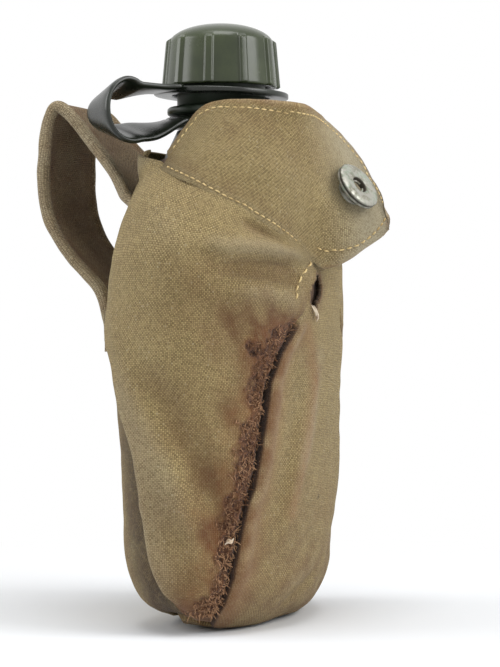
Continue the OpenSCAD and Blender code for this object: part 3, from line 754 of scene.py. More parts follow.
def gore_sheet(name, worn, side, seed):
    """The gore as a cloth piece. worn is how far its seams have gone, from 0 to 1; side is 1 for -X, -1 mirrored."""
    turn, high = gore_grid_places(214, 150, 40, worn)
    flat = skin(turn, high, GORE_OUT)
    run = arc(flat, 1)
    from_front, from_rear = run, run[:, -1:] - run
    split = worn * soft_step(high, 111, 104) * soft_step(high, 2, 9)
    strip = strip_width(high) * (1 + 0.22 * uneven(flat, 9, seed) + 0.14 * uneven(flat, 3, seed + 8))
    rough = split * soft_step(from_front, strip + 2.6, strip - 2.2)
    low = worn * soft_step(high, 96, 58) + (1 - worn) * 0.2
    bulge = 4.6 * low * soft_step(high, 4, 26) * bell(from_rear, 9)
    off = GORE_OUT + bulge + 0.3 * uneven(flat, 26, seed + 1) + 0.1 * uneven(flat, 9, seed + 2)
    roll = 4.6 * low + 1.2 * (1 - low)
    turned_in = 1 - np.sqrt(1 - np.clip(1 - from_rear / roll, 0, 1) ** 2)
    off -= (roll + 0.6 * low) * turned_in * soft_step(high, 160, 148)
    lumps = 0.3 * uneven(flat, 2.6, seed + 3) + 0.22 * uneven(flat, 1.5, seed + 4) + 0.4 * uneven(flat, 7, seed + 9)
    off += rough * (0.8 * lumps - 0.6 - 0.5 * soft_step(from_front, strip, 0))
    off -= 2.4 * split * np.clip(1 - from_front / 2.2, 0, 1) ** 1.5
    held = (1 - split) * soft_step(from_front, 8, 0)
    off -= 0.5 * held
    rise = arc(flat, 0)
    to_top = rise[-1:] - rise
    under_flap = soft_step(turn, FLAP_REAR + 5, FLAP_REAR - 3)
    off -= 1.2 * soft_step(high, 16, 5) + 0.2 * soft_step(to_top, 5, 1.5) * under_flap
    if worn > 0.5:
        plain = off.copy()
        for line in GORE_FOLDS:
            off += fold(flat, *line)
        off = plain + (off - plain) * soft_step(to_top, 1.5, 8) + standing(turn, high)
    outer = skin(turn, high, np.maximum(off, -0.6 - 1.0 * (from_front < 2.0)))
    darkening = np.zeros_like(high)
    if worn > 0.5:
        line = np.linspace(100, 6, 14)
        darkening = 0.8 * blot(flat, [122, 115, 109, 101], [106, 101, 104, 107], 9)
        darkening += 0.36 * blot(flat, [150, 138, 126], [117, 108, 97], 12)
        darkening += 0.6 * blot(flat, gore_front(line) + 6, line, 13)
        darkening += 0.18 * blot(flat, [125, 112], [129, 126], 6) + 0.15 * blot(flat, [120, 112], [141, 139], 5)
        darkening += 0.22 * soft_step(high, 36, 8)
    darkening += 0.04 + 0.24 * soft_step(high, 120, 40)
    darkening = np.clip(darkening * (0.8 + 0.35 * uneven(flat, 12, seed + 5)), 0, 0.95)
    # Painted shade: the split's gap and the pits in the worn strip are darkened, and the fold valleys are browned.
    gap = split * soft_step(from_front, 2.2, 0.9)
    pit_shade = np.clip(-1.3 * lumps, 0, 1)
    valley_shade = 0.3 * worn * soft_step(off, GORE_OUT, GORE_OUT - 2.0) * (1 - rough)
    beside = 0.3 * split * bell(from_front - strip, 6) * (1 - rough)
    painted = {
        "brown": np.clip(darkening + 0.3 * rough + valley_shade, 0, 1),
        "rust": np.clip(0.45 * worn * blot(flat, [126], [76], 4) + beside, 0, 0.6),
        "shade_and_marks": np.clip(gap + 0.55 * rough * pit_shade, 0, 1),
        # pale: painted highlight on the raised folds, and a paler rear edge.
        "pale": np.clip(0.36 * worn * soft_step(off, GORE_OUT + 0.2, GORE_OUT + 3.4) * (1 - rough)
                        + 0.35 * soft_step(from_rear, 2.5, 0.6) * (1 - low), 0, 0.7),
        "fray": np.clip(rough, 0, 1),
    }
    outer[..., 0] *= side
    thick = CANVAS_THICK - 0.8 * held - 0.5 * rough
    return cloth(name, outer, thick, canvas, "cover", painted, cloth_map(flat, 85)), outer, rough


gore_left, gore_outer, gore_rough = gore_sheet("gore_left_canvas", 1.0, 1, 11)
gore_right, _, _ = gore_sheet("gore_right_canvas", 0.25, -1, 31)
for piece, node_name in ((gore_left, "gore_left"), (gore_right, "gore_right")):
    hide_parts(node_name)

# %% [markdown]
# ## The front panel
# The two large panels wrap the body and disappear under the gores. Only the part up to the gore's edge is seen, so
# each sheet ends just under it. Along the split seam the front panel's edge stands up in a ridge and then dives
# into the gap; that and painted shade in the gap make the dark line. The panel also has the ragged hole that the
# lost stud left, with painted shade round its rim. A boolean could cut it, but dropping the squares inside it is
# simpler; the cloth round it is pushed in and frayed.

# %% Front panel
HOLE_TURN, HOLE_HIGH, HOLE_RADIUS = 95.2, 117.2, 3.4
PANEL_LOW, PANEL_THICK = 0.4, CANVAS_THICK - 0.2
FRONT_FOLDS = (
    ([94, 99, 105, 112], [97, 78, 58, 34], 4.5, 1.8),
    ([103, 110, 117], [84, 64, 40], 4.5, -1.1),
    ([114, 104, 96, 88], [5, 9, 14, 19], 3.2, -1.6),
    ([122, 108, 98, 90], [12, 16, 21, 26], 4.5, 1.2),
    ([70, 80, 92], [110, 96, 90], 8, -0.8),
    ([64, 72, 80], [70, 50, 32], 8, 0.9),
)


def panel_places(low, top, rows, cols, middle, reach):
    """Angles and heights of a panel's grid; reach gives the half angle at each height."""
    high = np.broadcast_to(np.linspace(low, top, rows)[:, None], (rows, cols))
    share = np.linspace(-1, 1, cols)
    share = 0.75 * share + 0.25 * np.sin(share * np.pi / 2)
    return middle + reach(high) * share, high


def front_reach(high):
    """Half angle of the front panel: it ends 1.2 degrees under the gore's front edge."""
    return gore_front(high) - 90 + 1.2


turn, high = panel_places(PANEL_LOW, MOUTH + 6, 172, 190, 90, front_reach)
flat = skin(turn, high, 0)
run = arc(flat, 1)
to_left, to_right = run[:, -1:] - run, run
split = soft_step(high, 108, 103)
off = 0.3 * uneven(flat, 24, 51) + 0.1 * uneven(flat, 8, 52)
off -= 0.9 * soft_step(high, MOUTH - 3, MOUTH + 3)
lip = 2.8 * soft_step(high, 2, 24) * bell(to_left - 4.6, 4.0)
off += split * (lip - 3.4 * np.clip(1 - to_left / 2.2, 0, 1) ** 1.6)
off += 0.9 * (1 - split) * bell(to_left, 9)
off += (0.9 * soft_step(high, 14, 34) - 1.2 * soft_step(high, 22, 8)) * bell(to_right, 9)
for line in FRONT_FOLDS:
    off += fold(flat, *line, 0)
hole_gap, _ = from_line(flat, skin(HOLE_TURN + np.array([1.6, -1.6]), HOLE_HIGH + np.array([-2.4, 2.4]), 0))
hole_edge = HOLE_RADIUS * (1 + 0.2 * uneven(flat, 3.4, 53))
off += 0.35 * bell(hole_gap - hole_edge - 1.2, 1.0)
off -= 0.5 * soft_step(hole_gap, hole_edge + 0.6, hole_edge - 0.6)
front_outer = skin(turn, high, off)
darkening = 0.9 * split * bell(to_left, 7) + 0.4 * blot(flat, [104, 98], [104, 92], 6, 0)
# Painted shade: the panel is made darker towards the foot.
darkening += 0.06 + 0.32 * soft_step(high, 80, 15) + 0.12 * soft_step(high, 26, 4)
darkening += 0.4 * bell(hole_gap - 4, 3.5)
painted = {
    "brown": np.clip(darkening * (0.85 + 0.35 * uneven(flat, 10, 54)), 0, 0.8),
    "rust": np.clip(0.5 * blot(flat, [98, 103, 109], [85, 64, 40], 3.0, 0)
                    + 0.4 * blot(flat, [100, 98], [104, 90], 4, 0) + 0.35 * split * bell(to_left - 6, 6), 0, 0.6),
    # The darkest paint is painted shade in the split's gap and round the hole's rim, with two small dark marks.
    "shade_and_marks": np.clip(split * soft_step(to_left, 3.0, 1.4) + 0.8 * soft_step(hole_gap, hole_edge + 0.7, hole_edge)
                    + 0.8 * blot(flat, [92.5], [44.5], 0.8, 0) + 0.7 * blot(flat, [96], [33.5], 0.7, 0), 0, 1),
    # pale: painted highlight on the raised lip and folds and along the ridge fold.
    "pale": np.clip(0.3 * soft_step(off, 0.7, 1.8) + 0.3 * blot(flat, [95, 99, 104], [95, 80, 60], 4, 0), 0, 0.6),
    "fray": np.clip(split * soft_step(to_left, 3.0, 1.0)
                    + 0.6 * soft_step(hole_gap, hole_edge + 1.6, hole_edge), 0, 1),
}
inside = hole_gap < hole_edge
torn = inside[1:, 1:] & inside[:-1, 1:] & inside[1:, :-1] & inside[:-1, :-1]
front_panel = cloth("front_panel_canvas", front_outer, PANEL_THICK, canvas, "cover", painted,
                    cloth_map(flat, 95), torn=torn)
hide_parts("front_panel")

# %% [markdown]
# ## The back panel
# The back panel is the taller one: it goes up behind the neck and carries the belt loop. It is the same kind of sheet,
# wide enough to reach under the gore's edge where that has drawn forwards, with painted shade in the crease beside it.

# %% Back panel
BACK_FOLDS = (([220, 232, 250], [20, 30, 34], 5, 0.9), ([300, 290, 276], [80, 66, 58], 9, -0.8))


def back_reach(high):
    """Half angle of the back panel: it ends 4 degrees under the gore, wherever the rear edge has drawn to."""
    return 274 - gore_back(high) + np.maximum(drawn_forward(high), 0)


turn, high = panel_places(PANEL_LOW, BACK_TOP + 2.0, 164, 150, 270, back_reach)
flat = skin(turn, high, 0)
run = arc(flat, 1)
to_left, to_right = run, run[:, -1:] - run
crease = soft_step(high, 95, 55)
off = 0.35 * uneven(flat, 26, 61) + 0.1 * uneven(flat, 8, 62)
off -= 2.0 * crease * bell(to_left, 15) + 0.5 * bell(to_right, 4)
off += 0.9 * crease * bell(to_left - 36, 9)
for line in BACK_FOLDS:
    off += fold(flat, *line, 0)
off = np.maximum(off, -1.8) + standing(turn, high)
painted = dict(CLEAN)
# Painted shade in the crease beside the gore, in brown and in the darkest paint; the panel is also darker towards the
# foot.
painted["brown"] = np.clip(0.25 * soft_step(high, 26, 4) + 0.4 * crease * soft_step(to_left, 42, 14)
                           + 0.3 * blot(flat, [270], [146], 14, 0), 0, 0.6) * (0.8 + 0.4 * uneven(flat, 11, 63))
painted["shade_and_marks"] = np.clip(0.85 * crease * soft_step(to_left, 36, 8), 0, 1)
back_panel = cloth("back_panel_canvas", skin(turn, high, off), PANEL_THICK, canvas, "cover", painted,
                   cloth_map(flat, 75))
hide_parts("back_panel")

# %% [markdown]
# ## Linings
# Felt lines the carrier, so that a wet lining cools the water. It shows at the mouth and through the torn hole.
# It could be left out where the canvas hides it, but then the hole would show the bottle. The linings are sheets on
# the same skin, just under the canvas.

# %% Linings
LINING_OUT, FELT_THICK = -2.8, 0.95


def lining(name, top, middle, seed):
    """A felt sheet from the foot to just under the panel's top edge."""
    turn, high = panel_places(0.6, top, 90, 110, middle, lambda z: np.full_like(z, 89.0))
    flat = skin(turn, high, LINING_OUT)
    outer = skin(turn, high, LINING_OUT + 0.1 * uneven(flat, 7, seed))
    piece = cloth(name, outer, FELT_THICK, felt, "cover", CLEAN, cloth_map(flat, 55))
    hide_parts(name.replace("_felt", ""))
    return piece


front_lining = lining("front_lining_felt", MOUTH - 4, 90, 71)
back_lining = lining("back_lining_felt", BACK_TOP - 1.5, 270, 72)

# %% [markdown]
# ## The bottom
# The carrier stands on a flat piece of canvas with felt on it. A filled outline would have long thin faces, so the
# pair is made of grids that run from the front half of the outline to the back half.

# %% Bottom


def bottom_sheet(name, level, thick, finish):
    """A level sheet inside the foot's outline: each column runs from the outline's front to its back."""
    turn = np.linspace(2.5, 177.5, 90)[None, :]
    share = np.linspace(0, 1, 40)[:, None, None]
    rim = skin(turn, 0.0, 0.0), skin(-turn, 0.0, 0.0)
    grid = rim[0] * (1 - share) + rim[1] * share
    middle = grid.mean((0, 1))
    grid = middle + (grid - middle) * 0.985
    dish = np.maximum(np.abs(2 * share[..., 0] - 1), np.abs(turn - 90) / 87.5) ** 3
    grid[..., 2] = level + grid[..., 2] * dish + 0.06 * uneven(grid, 9, 81)
    painted = dict(CLEAN)
    painted["brown"] = 0.3 + 0.2 * uneven(grid, 14, 82)
    painted["fray"] = np.full(grid.shape[:2], 0.2)
    piece = cloth(name, grid, thick, finish, "cover", painted, grid[..., :2], np.array([0, 0, -1.0]))
    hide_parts(name.rsplit("_", 1)[0])
    return piece


bottom_panel = bottom_sheet("bottom_panel_canvas", 0.15, 1.1, canvas)
bottom_lining = bottom_sheet("bottom_lining_felt", 1.9, 1.6, felt)

# %% [markdown]
# ## The left flap
# One cloth: it is sewn to the gore along a slanting seam, stands up round the neck, bends, and its free end with
# the snap points past the front. In the CAD it is two solids with a hinge between them; here it is one sheet.
# A simulation could drape it, but the photo shows where its edges run, so four edge curves are drawn first.

# %% Left flap's edges
HEM_START = np.array([-11.363, -38.5345, 133.816])
CORNER = np.array([-25.043, -40.9345, 181.3])
TIP, TIP_HALF = np.array([6.877, -61.3345, 142.016]), np.array([1.4, 0.5, 3.2])
HEM_LOW = np.array([-8.0, -39.9, 125.6])
COLLAR_KNOTS = np.array([CORNER, [-28.6, -29, 182.6], [-30.4, -17, 183], [-30.6, -8.5, 182.6], [-31, -3, 179.4],
                         [-33.6, 1.2, 173], [-37.6, 5.2, 165.6]])
SEAM_FRONT, SEAM_REAR = 97, 228


def bezier(a, b, c, d, f):
    """A cubic curve from a to d that b and c pull."""
    f = np.asarray(f)[..., None]
    return a * (1 - f) ** 3 + b * 3 * f * (1 - f) ** 2 + c * 3 * f * f * (1 - f) + d * f**3


def smooth_path(knots, steps):
    """A Catmull-Rom line: each span bends by the knots on both sides of it."""
    k = np.concatenate([knots[:1], knots, knots[-1:]])
    f = np.linspace(0, 1, steps, endpoint=False)[None, :, None]
    a, b, c, d = (k[i:len(k) - 3 + i, None, :] for i in range(4))
    line = 0.5 * (2 * b + (c - a) * f + (2 * a - 5 * b + 4 * c - d) * f**2 + (3 * b - 3 * c + d - a) * f**3)
    return np.concatenate([line.reshape(-1, knots.shape[1]), knots[-1:]])


def collar_rail(v):
    """Top edge of the sewn part, from the bend to the rear, where it comes down to the seam."""
    path = smooth_path(COLLAR_KNOTS, 24)
    reach = arc(path[None], 1)[0]
    return on_path(path, reach / reach[-1], v)


def seam_at(turn):
    """Height of the flaps' seam at an angle."""
    return seam_height(np.clip((turn - SEAM_FRONT) / (SEAM_REAR - SEAM_FRONT), 0, 1))


def seam_rail(v):
    """The sewn edge on the skin: it laps over the gore, and at the front it runs down to the free end's hem."""
    turn = SEAM_FRONT + (FLAP_REAR - SEAM_FRONT) * np.asarray(v)
    corner = soft_step(v, 0.14, 0)
    edge = skin(turn, seam_at(turn) - 1.6, 0.6)
    return edge * (1 - corner)[..., None] + HEM_LOW * corner[..., None]


def hem_rail(v):
    """Lower edge of the free end."""
    return bezier(HEM_LOW, HEM_LOW + [2, -7, 0.6], TIP + [-5, 7.5, -7.0], TIP - TIP_HALF, v)


def edge_rail(v):
    """Upper edge of the free end, which turns away round the front before it comes back to the tip."""
    return bezier(CORNER, CORNER + [36, 7.8, 1.5], TIP + [32, 20.4, 28.8], TIP + TIP_HALF, v)


print("edges meet at", CORNER.tolist(), "and", TIP.tolist())

# %% [markdown]
# ## The flap's sheet
# Straight lines between the edge curves give the sheet, and its belly is pushed out. Averaging each point with its
# neighbours, many times, then draws the free end taut, as pulled cloth is, and rounds the bend. Round the snap the
# points are kept, so that the snap still lies on the cloth.

# %% Left flap's sheet
LEFT_SNAP, LEFT_WAY = np.array([-3.354, -51.605, 153.705]), np.array([-0.2569, -0.8065, 0.5325])
FLAP_ROWS, ROOT_COLS, TIP_COLS, TAUT, ROUNDED = 84, 84, 76, 160, 50
BELLY_ROOT, BELLY_TIP = np.array([-0.75, -0.65, 0]), np.array([-0.45, -0.89, 0])
u = np.linspace(0, 1, FLAP_ROWS)[:, None]
f = u**1.85
v_root, v_tip = np.linspace(1, 0, ROOT_COLS)[None, :], np.linspace(0, 1, TIP_COLS)[None, 1:]
root = seam_rail(v_root) * (1 - f)[..., None] + collar_rail(v_root) * f[..., None]
root = root + BELLY_ROOT * (3 * 4 * f * (1 - f) * np.minimum(1, 3 * v_root))[..., None]
blunt = (1 - 0.5 * (1 - np.sqrt(1 - np.clip((v_tip - 0.9) / 0.1, 0, 1) ** 2 * 0.99)))[..., None]
rails = hem_rail(v_tip), edge_rail(v_tip)
between = (rails[0] + rails[1]) / 2
rails = [between + (rail - between) * blunt for rail in rails]
tip = rails[0] * (1 - f)[..., None] + rails[1] * f[..., None]
tip = tip + BELLY_TIP * (9 * np.sin(np.pi * v_tip**0.8) * np.sin(np.pi * u))[..., None]
sheet_grid = np.concatenate([root, tip], 1)
to_snap = np.linalg.norm(sheet_grid - LEFT_SNAP, axis=-1)
print("sheet at the snap is off by", round(float(to_snap.min()), 2), "mm")
bend_column = ROOT_COLS - 1
inner_columns = np.arange(1, sheet_grid.shape[1] - 1)
loose = (1 - bell(to_snap, 12)[1:-1, 1:-1, None]) * soft_step(inner_columns, 74, 92)[None, :, None]
for _ in range(TAUT):
    middle = (sheet_grid[:-2, 1:-1] + sheet_grid[2:, 1:-1] + sheet_grid[1:-1, :-2] + sheet_grid[1:-1, 2:]) / 4
    sheet_grid[1:-1, 1:-1] += (middle - sheet_grid[1:-1, 1:-1]) * loose
near_bend = bell(inner_columns - bend_column, 10)[None, :, None]
for _ in range(ROUNDED):
    lap = (sheet_grid[:, :-2] + sheet_grid[:, 2:]) / 2 - sheet_grid[:, 1:-1]
    sheet_grid[:, 1:-1] += 0.5 * lap * near_bend
print("sheet", sheet_grid.shape[0], "by", sheet_grid.shape[1], "points")

# %% [markdown]
# ## The flap's hems
# Along a hem the cloth lies double. Folding it in the mesh would add layers that nobody sees, so the hem is a
# thicker band along the edge instead, with a rolled rim and a small dip where the stitches pull the cloth in.

# %% Left flap's hems and paint
TOP_STITCH, LOW_STITCH, SEAM_STITCH, DIP = 3.2, 6.6, 1.9, 0.7
CREASE = [(-24, -44, 172), (-10, -52, 168), (2, -57, 160)]
RIDGE = [(-34, -33, 158), (-22, -44, 152), (-8, -50, 147)]
DIRT = [(-34, -20, 172), (-26, -42, 170), (-12, -52, 168)]
out = grid_normals(sheet_grid)
if float((out @ np.array([-0.6, -0.8, 0])).mean()) < 0:
    out = -out
height_run, length_run = arc(sheet_grid, 0), arc(sheet_grid, 1)
to_top, to_seam = height_run[-1:] - height_run, height_run
to_tip = length_run[:, -1:] - length_run
column = np.arange(sheet_grid.shape[1])[None, :]
free = soft_step(column, bend_column - 3, bend_column + 6)
hem = np.maximum(soft_step(to_top, 5.4, 4.2), free * soft_step(to_seam, 8.4, 7.2))
edge_roll = np.maximum(soft_step(to_seam, 1.9, 0.7), soft_step(to_tip, 1.9, 0.7))
edge_roll = np.maximum(soft_step(to_top, 1.9, 0.7), free * edge_roll)
lapped = (1 - free) * soft_step(to_seam, 4.2, 3.0)
stitch_dip = bell(to_top - TOP_STITCH, DIP) + free * bell(to_seam - LOW_STITCH, DIP)
stitch_dip += (1 - free) * bell(to_seam - SEAM_STITCH, DIP)
blunt = soft_step(to_tip, 0.5, 5)
push = 0.7 + 0.32 * hem * blunt + 0.25 * edge_roll * blunt + 0.15 * lapped - 0.22 * stitch_dip
push += 0.3 * uneven(sheet_grid, 24, 91) + 0.1 * uneven(sheet_grid, 7, 92)
push += near_line(sheet_grid, RIDGE, 6) - 0.5 * near_line(sheet_grid, CREASE, 7)
flap_outer = sheet_grid + out * push[..., None]
flap_thick = CANVAS_THICK + (0.75 * hem + 0.5 * edge_roll) * blunt - 0.8 * (1 - free) * soft_step(to_seam, 3.0, 0.5)
darkening = 0.25 * near_line(sheet_grid, DIRT, 9)
darkening += 0.16 * edge_roll + 0.2 * (1 - free) * bell(to_seam - 5, 4)
to_snap = np.linalg.norm(sheet_grid - LEFT_SNAP, axis=-1)
painted = {
    "brown": np.clip(darkening * (0.8 + 0.4 * uneven(sheet_grid, 10, 93)), 0, 0.6),
    "rust": np.clip(0.22 * edge_roll + 0.12 * hem * np.clip(uneven(sheet_grid, 9, 94), 0, 1), 0, 0.5),
    # The darkest paint is painted shade in the stitch dips and round the snap, where the cloth shows through its hole.
    "shade_and_marks": np.clip(0.14 * stitch_dip + soft_step(to_snap, 4.2, 3.2), 0, 1),
    # pale: painted light over the free end; the lapped and rolled edges are paler in patches.
    "pale": np.clip(0.95 * soft_step(column, bend_column - 5, bend_column + 45) + 0.15 * lapped
                    + 0.3 * edge_roll * np.clip(uneven(sheet_grid, 5, 95), 0, 1), 0, 0.9),
    "fray": 0.0,
}
flap_left = cloth("flap_left_canvas", flap_outer, flap_thick, canvas, None, painted,
                  cloth_map(sheet_grid, bend_column), out)
bend_axis = unit(CORNER - HEM_START)
toward = np.array([0.61, -0.79, 0])
toward = unit(toward - bend_axis * (toward @ bend_axis))
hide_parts("flap_root_left", "flap_left")
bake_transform(flap_left)

# %% [markdown]
# ## The right flap
# The other flap could stand open as the left one does, but the photo doesn't show it, so it lies shut over the
# shoulder, with its end folded round the front. It is a band of the skin between the seam and the neck, over the
# gore, and is one sheet across its hinge as well.

# %% Right flap
FOLD_TURN, TIP_TURN, SHUT_TOP, SHUT_OUT = 116.0, 94.0, 171.0, 3.4
share = np.linspace(0, 1, 110)[None, :]
turn = TIP_TURN + (SEAM_REAR - TIP_TURN) * share
seam_low, at_fold = seam_at(turn) + 0.8, float(seam_at(FOLD_TURN) + 0.8)
end = np.clip((FOLD_TURN - turn) / (FOLD_TURN - TIP_TURN), 0, 1)
low = np.where(turn > FOLD_TURN, seam_low - 3.0 * soft_step(turn, FOLD_TURN, FOLD_TURN + 12), at_fold + 2 * end)
top = np.where(turn > FOLD_TURN, SHUT_TOP - 3 * soft_step(turn, FOLD_TURN + 20, FOLD_TURN), 168 - 14.8 * end**1.4)
f = np.linspace(0, 1, 60)[:, None]
high = low + (top - low) * f
turn = np.broadcast_to(turn, high.shape)
flat = skin(turn, high, SHUT_OUT)
up_run, side_run = arc(flat, 0), arc(flat, 1)
to_low, to_top, to_tip = up_run, up_run[-1:] - up_run, side_run
hem = np.maximum(soft_step(to_top, 5.4, 4.2), soft_step(turn, FOLD_TURN + 4, FOLD_TURN) * soft_step(to_low, 7, 6))
rim_roll = np.maximum(soft_step(to_top, 1.9, 0.7), soft_step(to_tip, 1.9, 0.7))
off = SHUT_OUT + 0.3 * hem + 0.2 * uneven(flat, 22, 101) + 0.08 * uneven(flat, 7, 102)
off -= 1.5 * soft_step(to_low, 6, 1) * soft_step(turn, FOLD_TURN + 6, FOLD_TURN + 18)
shut = skin(turn, high, off)
shut[..., 0] *= -1
painted = dict(CLEAN)
painted["brown"] = np.clip(0.15 + 0.15 * uneven(flat, 14, 103) + 0.15 * rim_roll, 0, 0.5)
painted["pale"] = np.clip(0.25 * rim_roll * uneven(flat, 5, 104), 0, 0.5)
flap_right = cloth("flap_right_canvas", shut, CANVAS_THICK, canvas, None, painted, cloth_map(flat, 55))
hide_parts("flap_root_right", "flap_right")
RIGHT_AXIS = np.array([-0.502506, 0.271946, 0.82069])
toward = np.array([-0.9, -0.35, 0.0])
toward = unit(toward - RIGHT_AXIS * (toward @ RIGHT_AXIS))
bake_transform(flap_right)

# %% [markdown]
# ## The belt loop
# A strip of doubled webbing is sewn to the back at both ends and stands off it, so that a belt goes through.
# A flat strip could be bent with a curve modifier; here its cross-section is carried along the loop's route, with
# edges that are rolled and a little thicker than the middle.

# %% Belt loop
LOOP_KNOTS = np.array([[28.768, 144], [28.406, 150], [37.36, 165], [53.35, 184], [59.356, 181], [61.358, 166],
                       [60.37, 148], [53.35, 134.016], [39.362, 119.04], [35.388, 108], [34.99, 102], [34.857, 96]])
LOOP_WIDTH, LOOP_THICK, ROOT_FLARE, ROOT_SINK = 46, 2.8, 0.55, 4.0


def carried(profile, path, normal, across):
    """A closed profile carried along a path: each point is path + profile x across + profile y normal."""
    return path[:, None, :] + profile[None, :, :1] * across[:, None, :] + profile[None, :, 1:] * normal[:, None, :]


def tube_faces(rows, cols):
    """Squares of a carried profile, with a fan at both ends on an added middle point."""
    ends = []
    for start, middle in ((0, rows * cols), ((rows - 1) * cols, rows * cols + 1)):
        a = start + np.arange(cols)
        b = start + (np.arange(cols) + 1) % cols
        m = np.full(cols, middle)
        ends.append(np.stack([b, a, m, m], -1) if start == 0 else np.stack([a, b, m, m], -1))
    return np.concatenate([squares(rows, cols, True), *ends])


def swept(name, grid, finish, body, uv=None, paint=None):
    """A piece from a carried profile, closed at both ends."""
    rows, cols = grid.shape[:2]
    points = np.concatenate([grid.reshape(-1, 3), grid[0].mean(0, keepdims=True), grid[-1].mean(0, keepdims=True)])
    if uv is not None:
        uv = np.concatenate([uv.reshape(-1, 2), uv[0].mean(0, keepdims=True), uv[-1].mean(0, keepdims=True)])
        paint = {k: np.concatenate([np.broadcast_to(v, (rows, cols)).reshape(-1), [0, 0]]) for k, v in paint.items()}
    return make_piece(name, points, tube_faces(rows, cols), finish, body, uv, paint)


def strip_profile(width, thick, edge, cols=64):
    """Cross-section of a strip: a superellipse whose edges swell by a share of its thickness."""
    a = np.linspace(0, 2 * np.pi, cols, endpoint=False)
    x, y = width / 2 * power(np.cos(a), 0.32), thick / 2 * power(np.sin(a), 0.6)
    return np.stack([x, y * (1 + edge * soft_step(np.abs(x), width / 2 - 6, width / 2 - 2.5))], -1)


line = smooth_path(LOOP_KNOTS, 14)
path = np.stack([np.zeros(len(line)), line[:, 0], line[:, 1]], -1)
way = unit(np.gradient(path, axis=0))
normal = np.stack([np.zeros(len(line)), -way[:, 2], way[:, 1]], -1)
across = np.broadcast_to(np.array([1.0, 0, 0]), path.shape)
profile = strip_profile(LOOP_WIDTH, LOOP_THICK, 1.0)
loop = carried(profile, path, normal, across)
loop_run = np.broadcast_to(arc(path[:, None, :], 0), loop.shape[:2])
sewn = soft_step(loop_run, 34, 3)
sunk = ROOT_SINK * soft_step(loop_run, 9, 1)
loop[..., 0] *= 1 + ROOT_FLARE * sewn
back = skin(np.linspace(180, 360, 181)[None, :], loop[..., 2].mean(1)[:, None], 2.0)
wrapped = np.stack([np.interp(x, b[:, 0], b[:, 1]) for x, b in zip(loop[..., 0], back)])
loop[..., 1] += sewn * (wrapped - wrapped.max(1, keepdims=True)) - sunk
loop = loop + normal[:, None, :] * (0.25 * uneven(loop, 22, 111) + 0.08 * uneven(loop, 6, 112))[..., None]
edge = soft_step(np.abs(loop[..., 0]), 18.5, 21.5)
painted = dict(CLEAN)
painted["pale"] = np.clip(0.4 * edge + 0.1 * uneven(loop, 8, 113), 0, 0.7)
painted["brown"] = np.clip(0.3 * (1 - edge) * (1 - sewn) + 0.2 * uneven(loop, 12, 114), 0, 0.6)
# Painted shadow of the strap on the sewn end of the loop.
painted["shade_and_marks"] = 0.5 * sewn * bell(loop[..., 2] - 168, 7)
girth = np.broadcast_to(arc(profile[None], 1), loop.shape[:2])
belt_loop = swept("belt_loop_webbing", loop, webbing, "cover",
                  np.stack([girth, loop_run], -1) / 100, painted)
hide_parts("belt_loop")

# %% [markdown]
# ## The bottle
# The bottle is moulded in one piece: the same skin a few millimetres further in, and a round neck with a bead and
# a threaded top. A turned profile would do for the neck, but the body isn't round, so one grid of rings goes up
# the outside, over the lip and down the inside.

# %% Bottle
COLS, BOTTLE_OUT, BOTTLE_IN = 144, -4.0, -5.6


def round_rings(radius, high, cols):
    """Level circles with a radius and a height in each row; the radius may also change round the circle."""
    a = np.linspace(0, 2 * np.pi, cols, endpoint=False)[None, :]
    return np.stack([radius * np.cos(a), radius * np.sin(a), high + 0 * a], -1)


around = np.linspace(0, 360, COLS, endpoint=False)[None, :]
rise = np.concatenate([FOOT * (1 - np.cos(np.linspace(0, np.pi / 2, 10))), np.linspace(FOOT, SHOULDER, 20)[1:],
                       np.linspace(SHOULDER, NECK, 26)[1:]])[:, None]
outside = skin(around, rise, BOTTLE_OUT)
inside = skin(around, rise, BOTTLE_IN)[::-1]
neck_profile = np.array([
    [16.0, 177.0], [16.0, 181.0], [16.2, 181.4], [18.9, 181.6], [19.5, 182.1], [19.6, 183.0], [19.5, 183.9],
    [18.9, 184.4], [16.4, 184.7], [16.0, 185.2], [16.0, 192.0], [16.9, 193.0], [17.0, 194.6], [16.2, 195.4],
    [16.2, 196.2], [17.0, 197.0], [17.0, 198.4], [16.2, 199.2], [16.2, 200.0], [17.0, 200.8], [17.0, 202.2],
    [16.2, 203.0], [16.0, 204.4], [15.6, 205.0], [14.0, 205.0], [13.5, 204.5], [13.5, 178.0]])
neck = round_rings(neck_profile[:, :1], neck_profile[:, 1:], COLS)
rings = np.concatenate([outside, neck, inside])
bottle = swept("bottle_moulding", rings, bottle_plastic, "cover")
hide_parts("bottle")

# %% [markdown]
# ## The cap
# The cap is a turned shape whose radius also depends on the angle: ten grip ribs stand on it, rounded at their
# upper ends. They could be separate bars, but one grid with a radius that changes keeps the moulding in one piece.
# The gasket inside is hidden, so its CAD solid is shown as it is.

# %% Cap
CAP_LOW, CAP_TOP, CROWN_RISE, CAP_COLS, RIBS, RIB_TURN = 191.7, 215.0, 7.5, 360, 10, 8.0
crown = np.radians(np.linspace(0, 89, 26))
cap_profile = np.concatenate([
    [[18.0, 206.9], [18.0, 192.2], [18.4, CAP_LOW], [20.0, CAP_LOW], [20.4, 192.1]],
    np.stack([np.linspace(20.38, 19.05, 24), np.linspace(192.6, 207.2, 24)], -1),
    np.stack([19.0 * np.cos(crown), CAP_TOP - CROWN_RISE * (1 - np.sin(crown))], -1)])
angle = np.linspace(0, 2 * np.pi, CAP_COLS, endpoint=False)[None, :]
from_rib = ((angle - math.radians(RIB_TURN)) * RIBS / (2 * np.pi) + 0.5) % 1 - 0.5
beside = np.abs(from_rib) * 2 * np.pi / RIBS * 20
high = cap_profile[:, 1:]
outer_wall = (np.arange(len(cap_profile)) >= 3)[:, None]
